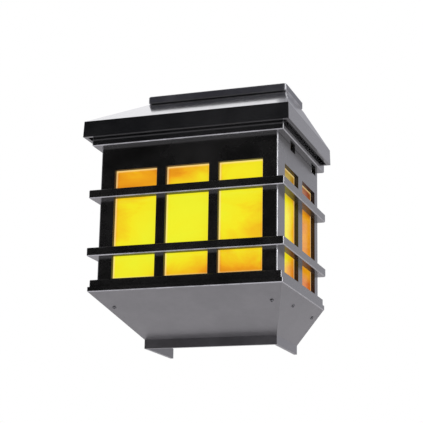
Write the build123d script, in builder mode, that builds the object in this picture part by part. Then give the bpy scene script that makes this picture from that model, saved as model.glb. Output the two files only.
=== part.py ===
from build123d import *
import os

# A half lantern that hangs flat on a fence: a moulded body with three glazed walls, a stepped base,
# an open corbel below, a hipped roof, and a solar module that lifts out of the roof.
# Millimetres. X runs across the front, Y runs back to the wall plane at y = 0, and Z is up.
# The origin is on the wall plane, midway between the two screws that hold the bracket.

# Body
BODY_WIDTH = 130.0
BODY_DEPTH = 104.0
BODY_HEIGHT = 110.3        # underside of the base up to the foot of the fascia
BODY_WALL = 3.0
CORNER_RADIUS = 1.4
HANG_DROP = 25.3           # foot of the fascia down to the wall screws

# Windows
SILL_HEIGHT = 9.6          # underside of the base up to the sills
WINDOW_HEIGHT = 77.6
WINDOW_WIDTH = 31.7
MULLION_WIDTH = 6.7
SIDE_WINDOW_WIDTH = 34.5
SIDE_MULLION_WIDTH = 10.5
REAR_STILE_WIDTH = 8.0
FRONT_WINDOWS = 3
SIDE_WINDOWS = 2

# Mouldings round the body
LOWER_RAIL_HEIGHT = 25.0   # underside of the base up to the underside of each rail
UPPER_RAIL_HEIGHT = 66.3
RAIL_THICKNESS = 5.9
RAIL_OVERHANG = 5.9
FLOOR_THICKNESS = 3.0
LOW_STEP_HEIGHT = 3.5
LOW_STEP_OVERHANG = 4.9
HIGH_STEP_HEIGHT = 5.0
HIGH_STEP_OVERHANG = 3.8
FRIEZE_HEIGHT = 5.6
FRIEZE_OVERHANG = 5.3
EDGE_BREAK = 0.6           # flat along the edges of the mouldings
ARRIS_RADIUS = 0.8         # their upright front corners

# Corbel and its open collar
CORBEL_DROP = 25.1
CORBEL_INSET = 0.7         # its top edge stands in from the edge of the base
CORBEL_WALL = 2.2
COLLAR_WIDTH = 98.6
COLLAR_DEPTH = 52.0
COLLAR_HEIGHT = 6.4

# Roof
FASCIA_HEIGHT = 11.6
FASCIA_OVERHANG = 9.9
FASCIA_FLARE = 0.4
ROOF_RISE = 32.9
ROOF_WALL = 2.5
CORNICE_PLATE = 2.5
SOFFIT_RECESS = 4.0        # the plate lies this far up inside the fascia
CORNICE_BAND = 6.0         # how far the cornice plate reaches in past the body wall
ROOF_BOSS_RADIUS = 3.0
ROOF_BOSS_PLACES = (25.0, 88.0)      # distance in front of the wall plane

# Snap latches between the cornice and the side walls
LATCH_PLACES = (11.0, 67.6)          # distance in front of the wall plane
LATCH_SLOT_WIDTH = 11.7
LATCH_SLOT_HEIGHT = 5.0
LATCH_SLOT_DROP = 9.2      # foot of the fascia down to the foot of each slot
LATCH_TONGUE_WIDTH = 9.0
LATCH_TONGUE_THICKNESS = 2.0
LATCH_BARB = 1.2

# Panes and the grooves that hold them
PANE_THICKNESS = 2.0
PANE_LAP = 3.4             # pane above the window heads
GROOVE_LIP = 2.0
GROOVE_DEPTH = 3.8

# Back plate and wall bracket
BRACKET_WIDTH = 100.0
BRACKET_HEIGHT = 24.0
BRACKET_SHEET = 1.5
BRACKET_SCREW_SPACING = 50.0
BRACKET_HOLE_RADIUS = 2.2
HOOK_SPACING = 84.0
HOOK_WIDTH = 12.0
HOOK_LIP = 6.0
BACK_RECESS = 5.0          # wall plane to the back plate, room for the bracket and its screws
BACK_SHEET = 1.5
BACK_FLANGE = 5.5
UNHOOK_TRAVEL = 7.5

# Solar module
MODULE_WIDTH = 108.6
MODULE_DEPTH = 46.4
MODULE_BACK = 1.0          # module clear of the wall plane
MODULE_RADIUS = 2.0
FLANGE_HEIGHT = 5.6
ROOF_RIM = 4.0             # ledge of the roof that carries the flange
TUB_GAP = 0.6
TUB_DEPTH = 27.8
TUB_WALL = 1.8
GASKET_THICKNESS = 0.7
GASKET_WIDTH = 2.4
PANEL_MARGIN = 3.4
PANEL_BOARD = 1.0
CELL_THICKNESS = 0.4
CELL_GAP = 0.6
CELL_COLUMNS = 5
CELL_ROWS = 2
PANEL_GLASS = 1.2
PANEL_SUNK = 0.2           # glass below the rim of the flange

# What the module holds
BASE_PLATE = 2.0
MODULE_BOSS = 6.0
BOARD_DEPTH = 13.0
BOARD_THICKNESS = 1.6
BOARD_STANDOFF = 3.4
POST_RADIUS = 2.0
BATTERY_RADIUS = 7.25
BATTERY_LENGTH = 50.5
BATTERY_CENTRE = -10.0     # across the module
BATTERY_NUB_RADIUS = 2.75
BATTERY_NUB = 1.0
CONTACT_SHEET = 0.6
SPRING_RADIUS = 3.5
SPRING_WIRE = 0.9
SPRING_LENGTH = 4.2
COVER_THICKNESS = 1.5
COVER_MARGIN = 0.8
COVER_TRAVEL = 8.0         # brings its notches over the lips that hold it
GUIDE_WEB = 1.2
GUIDE_LIP = 0.8
LIP_LENGTH = 6.0
LIP_SPACING = 30.0
GRIP_RIBS = 4
GRIP_PITCH = 2.0
GRIP_LENGTH = 9.0
GRIP_HEIGHT = 0.6
LAMP_RADIUS = 2.5
LAMP_LENGTH = 8.6
LAMP_SPACING = 6.0
DIFFUSER_RADIUS = 7.5
DIFFUSER_WALL = 1.3
DIFFUSER_LENGTH = 34.0
DIFFUSER_CHAMFER = 2.2
SWITCH_PLACE = 26.0        # across the module
SWITCH_LENGTH = 11.0
SWITCH_WIDTH = 5.6
KNOB_LENGTH = 3.0
KNOB_WIDTH = 2.4
KNOB_REACH = 2.0
SWITCH_TRAVEL = 3.0
LEAD_RADIUS = 0.6

# Screws
SCREW_SIDES = 16           # round enough at this size, and light on faces
HEAD_TAPER = 30.0
SMALL_SCREW_RADIUS = 0.9
SMALL_HEAD_RADIUS = 1.7
SMALL_HEAD_HEIGHT = 0.8
SMALL_SCREW_LENGTH = 6.0
SCREW_RADIUS = 1.2
HEAD_RADIUS = 2.4
HEAD_HEIGHT = 1.4
SCREW_LENGTH = 8.0
CORBEL_SCREW_RUN = 18.0    # down the front slope from its top edge
CORBEL_SCREW_DROP = 7.0    # below the base, on the sides
CORBEL_SCREW_SPREAD = 114.0
CORBEL_SCREW_PLACES = (12.0, 61.6)   # distance in front of the wall plane, on the sides
SCREW_BOSS = 7.0
CORBEL_BOSS = 12.0

# Clearances
FIT = 0.15                 # round a piece that fits in another
SEAT_GAP = 0.3             # under a piece that lifts off its seat
RUNNING_GAP = 0.3          # round a piece that slides
SCREW_GAP = 0.05           # round a screw in its hole

# Levels
base_z = HANG_DROP - BODY_HEIGHT
floor_z = base_z + FLOOR_THICKNESS
base_ledge_z = base_z + LOW_STEP_HEIGHT
base_top_z = base_ledge_z + HIGH_STEP_HEIGHT
sill_z = base_z + SILL_HEIGHT
window_z = sill_z + WINDOW_HEIGHT / 2
pane_top_z = sill_z + WINDOW_HEIGHT + PANE_LAP
fascia_z = base_z + BODY_HEIGHT
frieze_z = fascia_z - FRIEZE_HEIGHT
soffit_z = fascia_z + SOFFIT_RECESS
plate_z = soffit_z + CORNICE_PLATE
eaves_z = fascia_z + FASCIA_HEIGHT
roof_top_z = eaves_z + ROOF_RISE
gasket_z = roof_top_z + SEAT_GAP
flange_z = gasket_z + GASKET_THICKNESS
module_top_z = flange_z + FLANGE_HEIGHT
tub_foot_z = flange_z - TUB_DEPTH
base_plate_z = tub_foot_z + BASE_PLATE
collar_z = base_z - CORBEL_DROP

# Plan sizes that several pieces share
inner_width = BODY_WIDTH - 2 * BODY_WALL
inner_depth = BODY_DEPTH - BODY_WALL
back_plate_y = BACK_RECESS + BACK_SHEET
fascia_width = BODY_WIDTH + 2 * FASCIA_OVERHANG
fascia_depth = BODY_DEPTH + FASCIA_OVERHANG
module_front = MODULE_BACK + MODULE_DEPTH
mouth_width = MODULE_WIDTH - 2 * ROOF_RIM
mouth_back = MODULE_BACK + ROOF_RIM
mouth_depth = module_front - ROOF_RIM
tub_width = mouth_width - 2 * TUB_GAP
tub_back = mouth_back + TUB_GAP
tub_front = mouth_depth - TUB_GAP
tub_inner_width = tub_width - 2 * TUB_WALL
tub_inner_back = tub_back + TUB_WALL
tub_inner_front = tub_front - TUB_WALL


def plan(width, front, back=0.0, mode=Mode.ADD):
    """Rectangle centred across the lantern, from one distance in front of the wall to another."""
    with Locations((0, -back)):
        return Rectangle(width, front - back, align=(Align.CENTER, Align.MAX), mode=mode)


def sloped_form(levels, back=0.0, inset=0.0):
    """Flat slopes between rectangular plans, given as height, width and front, or a form inset from it."""
    widest = max(width for height, width, front in levels)
    deepest = max(front for height, width, front in levels)
    foot = levels[0][0]
    top = levels[-1][0]
    with BuildPart() as form:
        with BuildSketch(Plane.XZ.offset(back)):
            with BuildLine():
                Polyline(
                    *[(width / 2, height) for height, width, front in levels],
                    *[(-width / 2, height) for height, width, front in reversed(levels)],
                    close=True)
            make_face()
            if inset:
                offset(amount=-inset, kind=Kind.INTERSECTION)
        extrude(amount=deepest - back)
        with BuildSketch(Plane.YZ):
            with BuildLine():
                Polyline(
                    *[(-front, height) for height, width, front in levels],
                    (-back, top),
                    (-back, foot),
                    close=True)
            make_face()
            if inset:
                offset(amount=-inset, kind=Kind.INTERSECTION)
        extrude(amount=widest / 2, both=True, mode=Mode.INTERSECT)
    return form.part


def outer_edges(face):
    """The edges round a face, without the one at the wall plane."""
    return face.edges().sort_by(Axis.Y)[:-1]


def pan_screws(seats, radius, length, head_radius, head_height):
    """Screws whose heads bear on the seats and whose shanks run in along their normals."""
    with BuildSketch(*seats) as heads:
        RegularPolygon(head_radius, SCREW_SIDES)
    extrude(heads.sketch, amount=head_height, taper=HEAD_TAPER)
    with BuildSketch(*seats) as shanks:
        RegularPolygon(radius, SCREW_SIDES)
    extrude(shanks.sketch, amount=-length)


def screw_holes(seats, radius, length):
    """Holes for such screws, open at the seats."""
    with BuildSketch(*seats) as holes:
        RegularPolygon(radius, SCREW_SIDES)
    extrude(holes.sketch, amount=-length, mode=Mode.SUBTRACT)


# Seats of the screws: each plane's normal points out of the screw's head.
corbel_top_width = BODY_WIDTH + 2 * (LOW_STEP_OVERHANG - CORBEL_INSET)
corbel_top_depth = BODY_DEPTH + LOW_STEP_OVERHANG - CORBEL_INSET
front_run = corbel_top_depth - COLLAR_DEPTH
side_run = (corbel_top_width - COLLAR_WIDTH) / 2
corbel_seats = []
for side in (-1, 1):
    drop = CORBEL_SCREW_RUN * CORBEL_DROP / front_run
    corbel_seats.append(Plane(
        origin=(side * CORBEL_SCREW_SPREAD / 2, -(corbel_top_depth - CORBEL_SCREW_RUN), base_z - drop),
        x_dir=(1, 0, 0), z_dir=(0, -CORBEL_DROP, -front_run)))
    for place in CORBEL_SCREW_PLACES:
        reach = corbel_top_width / 2 - CORBEL_SCREW_DROP * side_run / CORBEL_DROP
        corbel_seats.append(Plane(
            origin=(side * reach, -place, base_z - CORBEL_SCREW_DROP),
            x_dir=(0, 1, 0), z_dir=(side * CORBEL_DROP, 0, -side_run)))

back_boss_x = inner_width / 2 - SCREW_BOSS / 2
back_boss_z = (pane_top_z + fascia_z - LATCH_SLOT_DROP) / 2 - 1
tray_boss_x = inner_width / 2 - PANE_THICKNESS - GROOVE_LIP - SCREW_BOSS
tray_boss_z = floor_z + SCREW_BOSS / 2
back_seats = []
for side in (-1, 1):
    for boss_x, boss_z in ((back_boss_x, back_boss_z), (tray_boss_x, tray_boss_z)):
        back_seats.append(Plane(origin=(side * boss_x, -BACK_RECESS, boss_z), z_dir=(0, 1, 0)))

roof_screw_x = inner_width / 2 - CORNICE_BAND / 2
roof_seats = []
for side in (-1, 1):
    for place in ROOF_BOSS_PLACES:
        roof_seats.append(Plane(origin=(side * roof_screw_x, -place, soffit_z), z_dir=(0, 0, -1)))

module_seats = []
for side in (-1, 1):
    for place in (tub_inner_back + MODULE_BOSS / 2, tub_inner_front - MODULE_BOSS / 2):
        seat_x = side * (tub_inner_width - MODULE_BOSS) / 2
        module_seats.append(Plane(origin=(seat_x, -place, tub_foot_z), z_dir=(0, 0, -1)))

# Body: one moulding with three walls, windows, latch slots, pane grooves and screw bosses
with BuildPart() as lantern_body:
    with BuildSketch(Plane.XY.offset(floor_z)) as body_plan:
        plan(BODY_WIDTH, BODY_DEPTH)
        fillet(body_plan.vertices().group_by(Axis.Y)[0], CORNER_RADIUS)
        plan(inner_width, inner_depth, mode=Mode.SUBTRACT)
    extrude(amount=soffit_z - floor_z)
    with BuildSketch(Plane.XZ.offset(BODY_DEPTH)):
        with Locations((0, window_z)):
            with GridLocations(WINDOW_WIDTH + MULLION_WIDTH, 0, FRONT_WINDOWS, 1):
                Rectangle(WINDOW_WIDTH, WINDOW_HEIGHT)
    extrude(amount=-BODY_WALL, mode=Mode.SUBTRACT)
    with BuildSketch(Plane.YZ.offset(-BODY_WIDTH / 2)):
        for index in range(SIDE_WINDOWS):
            window_back = REAR_STILE_WIDTH + index * (SIDE_WINDOW_WIDTH + SIDE_MULLION_WIDTH)
            with Locations((-window_back - SIDE_WINDOW_WIDTH / 2, window_z)):
                Rectangle(SIDE_WINDOW_WIDTH, WINDOW_HEIGHT)
        for place in LATCH_PLACES:
            with Locations((-place, fascia_z - LATCH_SLOT_DROP + LATCH_SLOT_HEIGHT / 2)):
                Rectangle(LATCH_SLOT_WIDTH, LATCH_SLOT_HEIGHT)
    extrude(amount=BODY_WIDTH, mode=Mode.SUBTRACT)
    groove_front = inner_depth - PANE_THICKNESS - 2 * FIT
    groove_side = inner_width / 2 - PANE_THICKNESS - 2 * FIT
    with BuildSketch(Plane.XY.offset(floor_z)) as groove_ribs:
        with Locations((inner_width / 2, -groove_front)):
            Rectangle(inner_width / 2 - groove_side + GROOVE_LIP, GROOVE_LIP, align=(Align.MAX, Align.MIN))
        with Locations((groove_side, -groove_front)):
            Rectangle(GROOVE_LIP, GROOVE_LIP + GROOVE_DEPTH, align=(Align.MAX, Align.MIN))
        mirror(about=Plane.YZ)
    extrude(amount=pane_top_z - floor_z)
    with BuildSketch(Plane.XZ.offset(back_plate_y)):
        for side in (-1, 1):
            with Locations((side * back_boss_x, back_boss_z)):
                Rectangle(SCREW_BOSS, SCREW_BOSS - 1)
    extrude(amount=SCREW_BOSS)
    screw_holes(back_seats, SCREW_RADIUS + SCREW_GAP, SCREW_LENGTH)

# Panes: coloured art glass, one sheet behind the windows of each wall
pane_height = pane_top_z - floor_z - FIT
with BuildPart() as front_pane:
    with BuildSketch(Plane.XY.offset(floor_z + FIT)):
        plan(inner_width - 2 * FIT, inner_depth - FIT, inner_depth - FIT - PANE_THICKNESS)
    extrude(amount=pane_height)

with BuildPart() as right_pane:
    with BuildSketch(Plane.XY.offset(floor_z + FIT)):
        with Locations((inner_width / 2 - FIT, -back_plate_y - FIT)):
            Rectangle(PANE_THICKNESS, groove_front - GROOVE_LIP - back_plate_y - 2 * FIT,
                      align=(Align.MAX, Align.MAX))
    extrude(amount=pane_height)

with BuildPart() as left_pane:
    mirror(right_pane.part, about=Plane.YZ)

# Rails: square mouldings round the front and both sides
rails = {}
for rail_name, rail_height in (("lower_rail", LOWER_RAIL_HEIGHT), ("upper_rail", UPPER_RAIL_HEIGHT)):
    with BuildPart() as rail:
        with BuildSketch(Plane.XY.offset(base_z + rail_height)) as rail_plan:
            plan(BODY_WIDTH + 2 * RAIL_OVERHANG, BODY_DEPTH + RAIL_OVERHANG)
            fillet(rail_plan.vertices().group_by(Axis.Y)[0], ARRIS_RADIUS)
        extrude(amount=RAIL_THICKNESS)
        chamfer(outer_edges(rail.faces().sort_by(Axis.Z)[0]), EDGE_BREAK)
        chamfer(outer_edges(rail.faces().sort_by(Axis.Z)[-1]), EDGE_BREAK / 2)
        with BuildSketch(Plane.XY.offset(base_z + rail_height)) as rail_core:
            plan(BODY_WIDTH, BODY_DEPTH)
            fillet(rail_core.vertices().group_by(Axis.Y)[0], CORNER_RADIUS)
        extrude(amount=RAIL_THICKNESS, mode=Mode.SUBTRACT)
    rails[rail_name] = rail

# Corbel: an inverted pyramid that ends in a three-sided collar, hollow and open at the wall plane
corbel_levels = [
    (collar_z - COLLAR_HEIGHT, COLLAR_WIDTH, COLLAR_DEPTH),
    (collar_z, COLLAR_WIDTH, COLLAR_DEPTH),
    (base_z, corbel_top_width, corbel_top_depth),
]
with BuildPart() as corbel_space:
    add(sloped_form(corbel_levels, -2 * CORBEL_WALL, CORBEL_WALL))
    extrude(corbel_space.faces().filter_by(Axis.Z), amount=CORBEL_WALL)

with BuildPart() as bottom_corbel:
    add(sloped_form(corbel_levels))
    add(corbel_space.part, mode=Mode.SUBTRACT)
    screw_holes(corbel_seats, SMALL_SCREW_RADIUS + SCREW_GAP, SMALL_SCREW_LENGTH)

with BuildPart() as corbel_screws:
    pan_screws(corbel_seats, SMALL_SCREW_RADIUS, SMALL_SCREW_LENGTH, SMALL_HEAD_RADIUS, SMALL_HEAD_HEIGHT)

# Wedges under the base that stand close to the corbel's inner faces and take its screws
with BuildPart() as wedge_room:
    add(sloped_form(corbel_levels, -2 * CORBEL_WALL, CORBEL_WALL + FIT))
    extrude(wedge_room.faces().sort_by(Axis.Z)[-1], amount=CORBEL_WALL + FIT)

with BuildPart() as corbel_bosses:
    with BuildSketch(Plane.XY.offset(base_z)):
        with Locations(*[(seat.origin.X, seat.origin.Y) for seat in corbel_seats]):
            Rectangle(CORBEL_BOSS, CORBEL_BOSS)
    extrude(amount=-CORBEL_DROP)
    add(wedge_room.part, mode=Mode.INTERSECT)

# Base tray: floor of the light chamber, a two-step moulding and the screw bosses
with BuildPart() as base_tray:
    with BuildSketch(Plane.XY.offset(base_z)) as low_step:
        plan(BODY_WIDTH + 2 * LOW_STEP_OVERHANG, BODY_DEPTH + LOW_STEP_OVERHANG)
        fillet(low_step.vertices().group_by(Axis.Y)[0], ARRIS_RADIUS)
    extrude(amount=LOW_STEP_HEIGHT)
    chamfer(outer_edges(base_tray.faces().sort_by(Axis.Z)[0]), EDGE_BREAK)
    with BuildSketch(Plane.XY.offset(base_ledge_z)) as high_step:
        plan(BODY_WIDTH + 2 * HIGH_STEP_OVERHANG, BODY_DEPTH + HIGH_STEP_OVERHANG)
        fillet(high_step.vertices().group_by(Axis.Y)[0], ARRIS_RADIUS)
    extrude(amount=HIGH_STEP_HEIGHT)
    chamfer(outer_edges(base_tray.faces().sort_by(Axis.Z)[-1]), EDGE_BREAK / 2)
    with BuildSketch(Plane.XY.offset(floor_z)):
        plan(BODY_WIDTH + 2 * FIT, BODY_DEPTH + FIT)
    extrude(amount=base_top_z - floor_z, mode=Mode.SUBTRACT)
    with BuildSketch(Plane.XY.offset(floor_z)):
        for side in (-1, 1):
            with Locations((side * tray_boss_x, -back_plate_y)):
                Rectangle(SCREW_BOSS, SCREW_BOSS, align=(Align.CENTER, Align.MAX))
    extrude(amount=SCREW_BOSS)
    add(corbel_bosses.part)
    screw_holes(back_seats, SCREW_RADIUS + SCREW_GAP, SCREW_LENGTH)
    screw_holes(corbel_seats, SMALL_SCREW_RADIUS + SCREW_GAP, SMALL_SCREW_LENGTH)

# Cornice: the frieze round the body's head, the plate on top of its walls, and four snap tongues
with BuildPart() as cornice:
    with BuildSketch(Plane.XY.offset(frieze_z)) as frieze_plan:
        plan(BODY_WIDTH + 2 * FRIEZE_OVERHANG, BODY_DEPTH + FRIEZE_OVERHANG)
        fillet(frieze_plan.vertices().group_by(Axis.Y)[0], ARRIS_RADIUS)
    extrude(amount=soffit_z - frieze_z)
    chamfer(outer_edges(cornice.faces().sort_by(Axis.Z)[0]), EDGE_BREAK)
    with BuildSketch(Plane.XY.offset(frieze_z)):
        plan(BODY_WIDTH + 2 * FIT, BODY_DEPTH + FIT)
    extrude(amount=soffit_z - frieze_z, mode=Mode.SUBTRACT)
    with BuildSketch(Plane.XY.offset(soffit_z)):
        plan(fascia_width - 2 * ROOF_WALL - 2 * FIT, fascia_depth - ROOF_WALL - FIT, ROOF_WALL + FIT)
        plan(inner_width - 2 * CORNICE_BAND, inner_depth - CORNICE_BAND, back_plate_y + CORNICE_BAND)
    extrude(amount=CORNICE_PLATE)
    with BuildSketch(Plane.XY.offset(soffit_z)):
        plan(inner_width - 2 * CORNICE_BAND, inner_depth - CORNICE_BAND, back_plate_y + CORNICE_BAND)
    extrude(amount=CORNICE_PLATE, mode=Mode.SUBTRACT)
    tongue_x = inner_width / 2 - FIT
    barb_z = fascia_z - LATCH_SLOT_DROP + FIT
    for place in LATCH_PLACES:
        with BuildSketch(Plane.XZ.offset(place)):
            with BuildLine():
                Polyline(
                    (tongue_x, soffit_z),
                    (tongue_x, barb_z + LATCH_BARB + FIT),
                    (tongue_x + LATCH_BARB, barb_z + LATCH_BARB + FIT),
                    (tongue_x, barb_z),
                    (tongue_x - LATCH_TONGUE_THICKNESS, barb_z),
                    (tongue_x - LATCH_TONGUE_THICKNESS, soffit_z),
                    close=True)
            make_face()
            mirror(about=Plane.YZ)
        extrude(amount=LATCH_TONGUE_WIDTH / 2, both=True)
    screw_holes(roof_seats, SCREW_RADIUS + SCREW_GAP, SCREW_LENGTH)

# Roof: a flared fascia under a hipped top whose back stands on the wall plane, hollow from below.
# Its back wall is notched for the rear ends of the body's walls and of the frieze.
roof_levels = [
    (fascia_z, fascia_width + 2 * FASCIA_FLARE, fascia_depth + FASCIA_FLARE),
    (eaves_z, fascia_width, fascia_depth),
    (roof_top_z, MODULE_WIDTH, module_front),
]
with BuildPart() as roof_space:
    add(sloped_form(roof_levels, inset=ROOF_WALL))
    extrude(roof_space.faces().sort_by(Axis.Z)[0], amount=ROOF_WALL)

# Its screw bosses run up into the middle of the wall
with BuildPart() as roof_bosses:
    with BuildSketch(Plane.XY.offset(plate_z)):
        with Locations(*[(seat.origin.X, seat.origin.Y) for seat in roof_seats]):
            Circle(ROOF_BOSS_RADIUS)
    extrude(amount=roof_top_z - plate_z)
    add(sloped_form(roof_levels, inset=ROOF_WALL / 2), mode=Mode.INTERSECT)

with BuildPart() as roof_cover:
    add(sloped_form(roof_levels))
    add(roof_space.part, mode=Mode.SUBTRACT)
    with BuildSketch(Plane.XY.offset(roof_top_z)):
        plan(mouth_width, mouth_depth, mouth_back)
    extrude(amount=-ROOF_RISE, mode=Mode.SUBTRACT)
    with BuildSketch(Plane.XY.offset(fascia_z)) as back_notch:
        plan(BODY_WIDTH + 2 * (FRIEZE_OVERHANG + FIT), ROOF_WALL)
    extrude(back_notch.sketch, amount=SOFFIT_RECESS + FIT, mode=Mode.SUBTRACT)
    add(roof_bosses.part)
    screw_holes(roof_seats, SCREW_RADIUS + SCREW_GAP, SCREW_LENGTH)

with BuildPart() as roof_screws:
    pan_screws(roof_seats, SCREW_RADIUS, SCREW_LENGTH, HEAD_RADIUS, HEAD_HEIGHT)

# Wall bracket: a flat strip with two screw holes and two upturned hooks
hook_z = BRACKET_HEIGHT / 2 - BRACKET_SHEET
hook_reach = back_plate_y + RUNNING_GAP + BRACKET_SHEET
with BuildPart() as wall_bracket:
    with BuildSketch(Plane.XZ):
        Rectangle(BRACKET_WIDTH, BRACKET_HEIGHT)
        with GridLocations(BRACKET_SCREW_SPACING, 0, 2, 1):
            Circle(BRACKET_HOLE_RADIUS, mode=Mode.SUBTRACT)
    extrude(amount=BRACKET_SHEET)
    with BuildSketch(Plane.YZ):
        with BuildLine():
            Polyline(
                (-BRACKET_SHEET, hook_z),
                (-hook_reach, hook_z),
                (-hook_reach, hook_z + BRACKET_SHEET + HOOK_LIP),
                (-hook_reach + BRACKET_SHEET, hook_z + BRACKET_SHEET + HOOK_LIP),
                (-hook_reach + BRACKET_SHEET, hook_z + BRACKET_SHEET),
                (-BRACKET_SHEET, hook_z + BRACKET_SHEET),
                close=True)
        make_face()
    hook = extrude(amount=HOOK_WIDTH / 2, both=True, mode=Mode.PRIVATE)
    with GridLocations(HOOK_SPACING, 0, 2, 1):
        add(hook)

# Back plate: a sheet tray with side flanges behind the panes and two slots that hang on the hooks
slot_top = hook_z + BRACKET_SHEET + SEAT_GAP
slot_foot = hook_z - UNHOOK_TRAVEL - RUNNING_GAP
with BuildPart() as back_plate:
    with BuildSketch(Plane.XZ.offset(BACK_RECESS)):
        with Locations((0, (floor_z + soffit_z) / 2)):
            Rectangle(inner_width - 2 * FIT, soffit_z - floor_z - 2 * FIT)
        with Locations((0, (slot_top + slot_foot) / 2)):
            with GridLocations(HOOK_SPACING, 0, 2, 1):
                Rectangle(HOOK_WIDTH + 2 * RUNNING_GAP, slot_top - slot_foot, mode=Mode.SUBTRACT)
    extrude(amount=BACK_SHEET)
    flange_x = groove_side - FIT - BACK_SHEET / 2
    flange_foot = tray_boss_z + SCREW_BOSS
    with BuildSketch(Plane.XZ.offset(back_plate_y)):
        with Locations((-flange_x, (flange_foot + pane_top_z) / 2), (flange_x, (flange_foot + pane_top_z) / 2)):
            Rectangle(BACK_SHEET, pane_top_z - flange_foot)
    extrude(amount=BACK_FLANGE)
    screw_holes(back_seats, SCREW_RADIUS + SCREW_GAP, SCREW_LENGTH)

with BuildPart() as back_plate_screws:
    pan_screws(back_seats, SCREW_RADIUS, SCREW_LENGTH, HEAD_RADIUS, HEAD_HEIGHT)

# Solar module: a flange that stands on the roof's rim and a tub that hangs through the mouth
panel_width = MODULE_WIDTH - 2 * PANEL_MARGIN
panel_depth = MODULE_DEPTH - 2 * PANEL_MARGIN
panel_y = -(MODULE_BACK + MODULE_DEPTH / 2)
panel_sink = PANEL_SUNK + PANEL_GLASS + CELL_THICKNESS + PANEL_BOARD
board_z = module_top_z - panel_sink
cells_z = board_z + PANEL_BOARD
glass_z = cells_z + CELL_THICKNESS
circuit_z = base_plate_z + BOARD_STANDOFF
circuit_y = -(tub_inner_front - FIT - BOARD_DEPTH / 2)
lead_places = [(-tub_inner_width / 4, circuit_y), (-tub_inner_width / 4 + 4 * LEAD_RADIUS, circuit_y)]
with BuildPart() as module_frame:
    with BuildSketch(Plane.XY.offset(flange_z)) as flange_plan:
        plan(MODULE_WIDTH, module_front, MODULE_BACK)
        fillet(flange_plan.vertices(), MODULE_RADIUS)
    extrude(amount=FLANGE_HEIGHT)
    chamfer(module_frame.faces().sort_by(Axis.Z)[0].edges(), EDGE_BREAK)
    chamfer(module_frame.faces().sort_by(Axis.Z)[-1].edges(), EDGE_BREAK)
    with BuildSketch(Plane.XY.offset(module_top_z)):
        with Locations((0, panel_y)):
            Rectangle(panel_width, panel_depth)
    extrude(amount=-panel_sink, mode=Mode.SUBTRACT)
    with BuildSketch(Plane.XY.offset(tub_foot_z)):
        plan(tub_width, tub_front, tub_back)
    extrude(amount=TUB_DEPTH)
    with BuildSketch(Plane.XY.offset(tub_foot_z)):
        plan(tub_inner_width, tub_inner_front, tub_inner_back)
    extrude(amount=TUB_DEPTH, mode=Mode.SUBTRACT)
    with BuildSketch(Plane.XY.offset(base_plate_z)):
        for seat in module_seats:
            with Locations((seat.origin.X, seat.origin.Y)):
                Rectangle(MODULE_BOSS, MODULE_BOSS)
    extrude(amount=flange_z - base_plate_z)
    screw_holes(module_seats, SMALL_SCREW_RADIUS + SCREW_GAP, SMALL_SCREW_LENGTH)
    with BuildSketch(Plane.XY.offset(flange_z)):
        with Locations(*lead_places):
            Circle(LEAD_RADIUS + FIT)
    extrude(amount=FLANGE_HEIGHT, mode=Mode.SUBTRACT)

with BuildPart() as module_gasket:
    with BuildSketch(Plane.XY.offset(gasket_z)):
        plan(tub_width + 2 * GASKET_WIDTH, tub_front + GASKET_WIDTH, tub_back - GASKET_WIDTH)
    extrude(amount=GASKET_THICKNESS)
    with BuildSketch(Plane.XY.offset(gasket_z)):
        plan(tub_width, tub_front, tub_back)
    extrude(amount=GASKET_THICKNESS, mode=Mode.SUBTRACT)

with BuildPart() as panel_board:
    with BuildSketch(Plane.XY.offset(board_z)):
        with Locations((0, panel_y)):
            Rectangle(panel_width - 2 * FIT, panel_depth - 2 * FIT)
    extrude(amount=PANEL_BOARD)

cell_width = (panel_width - 2 * FIT - CELL_GAP) / CELL_COLUMNS
cell_depth = (panel_depth - 2 * FIT - CELL_GAP) / CELL_ROWS
with BuildPart() as solar_cells:
    with BuildSketch(Plane.XY.offset(cells_z)):
        with Locations((0, panel_y)):
            with GridLocations(cell_width, cell_depth, CELL_COLUMNS, CELL_ROWS):
                Rectangle(cell_width - CELL_GAP, cell_depth - CELL_GAP)
    extrude(amount=CELL_THICKNESS)

with BuildPart() as panel_glass:
    with BuildSketch(Plane.XY.offset(glass_z)):
        with Locations((0, panel_y)):
            Rectangle(panel_width - 2 * FIT, panel_depth - 2 * FIT)
    extrude(amount=PANEL_GLASS)

# Module base: closes the tub, carries the board, the battery, the switch and the lamp tube
battery_z = tub_foot_z + RUNNING_GAP + BATTERY_RADIUS
battery_room = BATTERY_LENGTH + BATTERY_NUB + SPRING_LENGTH
room_left = BATTERY_CENTRE - BATTERY_LENGTH / 2 - SPRING_LENGTH
room_right = room_left + battery_room
room_width = 2 * (BATTERY_RADIUS + RUNNING_GAP)
cover_length = battery_room + 2 * COVER_MARGIN
cover_width = room_width + 2 * COVER_MARGIN
cover_top_z = tub_foot_z - RUNNING_GAP
guide_y = cover_width / 2 + RUNNING_GAP + GUIDE_WEB / 2
battery_y = -(tub_inner_back + FIT + guide_y + GUIDE_WEB / 2)
lip_x = (room_left + room_right) / 2
board_length = tub_inner_width - 2 * (MODULE_BOSS + RUNNING_GAP)
diffuser_y = -(tub_front - DIFFUSER_RADIUS)
switch_spot = (SWITCH_PLACE, circuit_y)
knob_slot_length = KNOB_LENGTH + SWITCH_TRAVEL + 2 * RUNNING_GAP
knob_slot_width = KNOB_WIDTH + 2 * RUNNING_GAP
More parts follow.
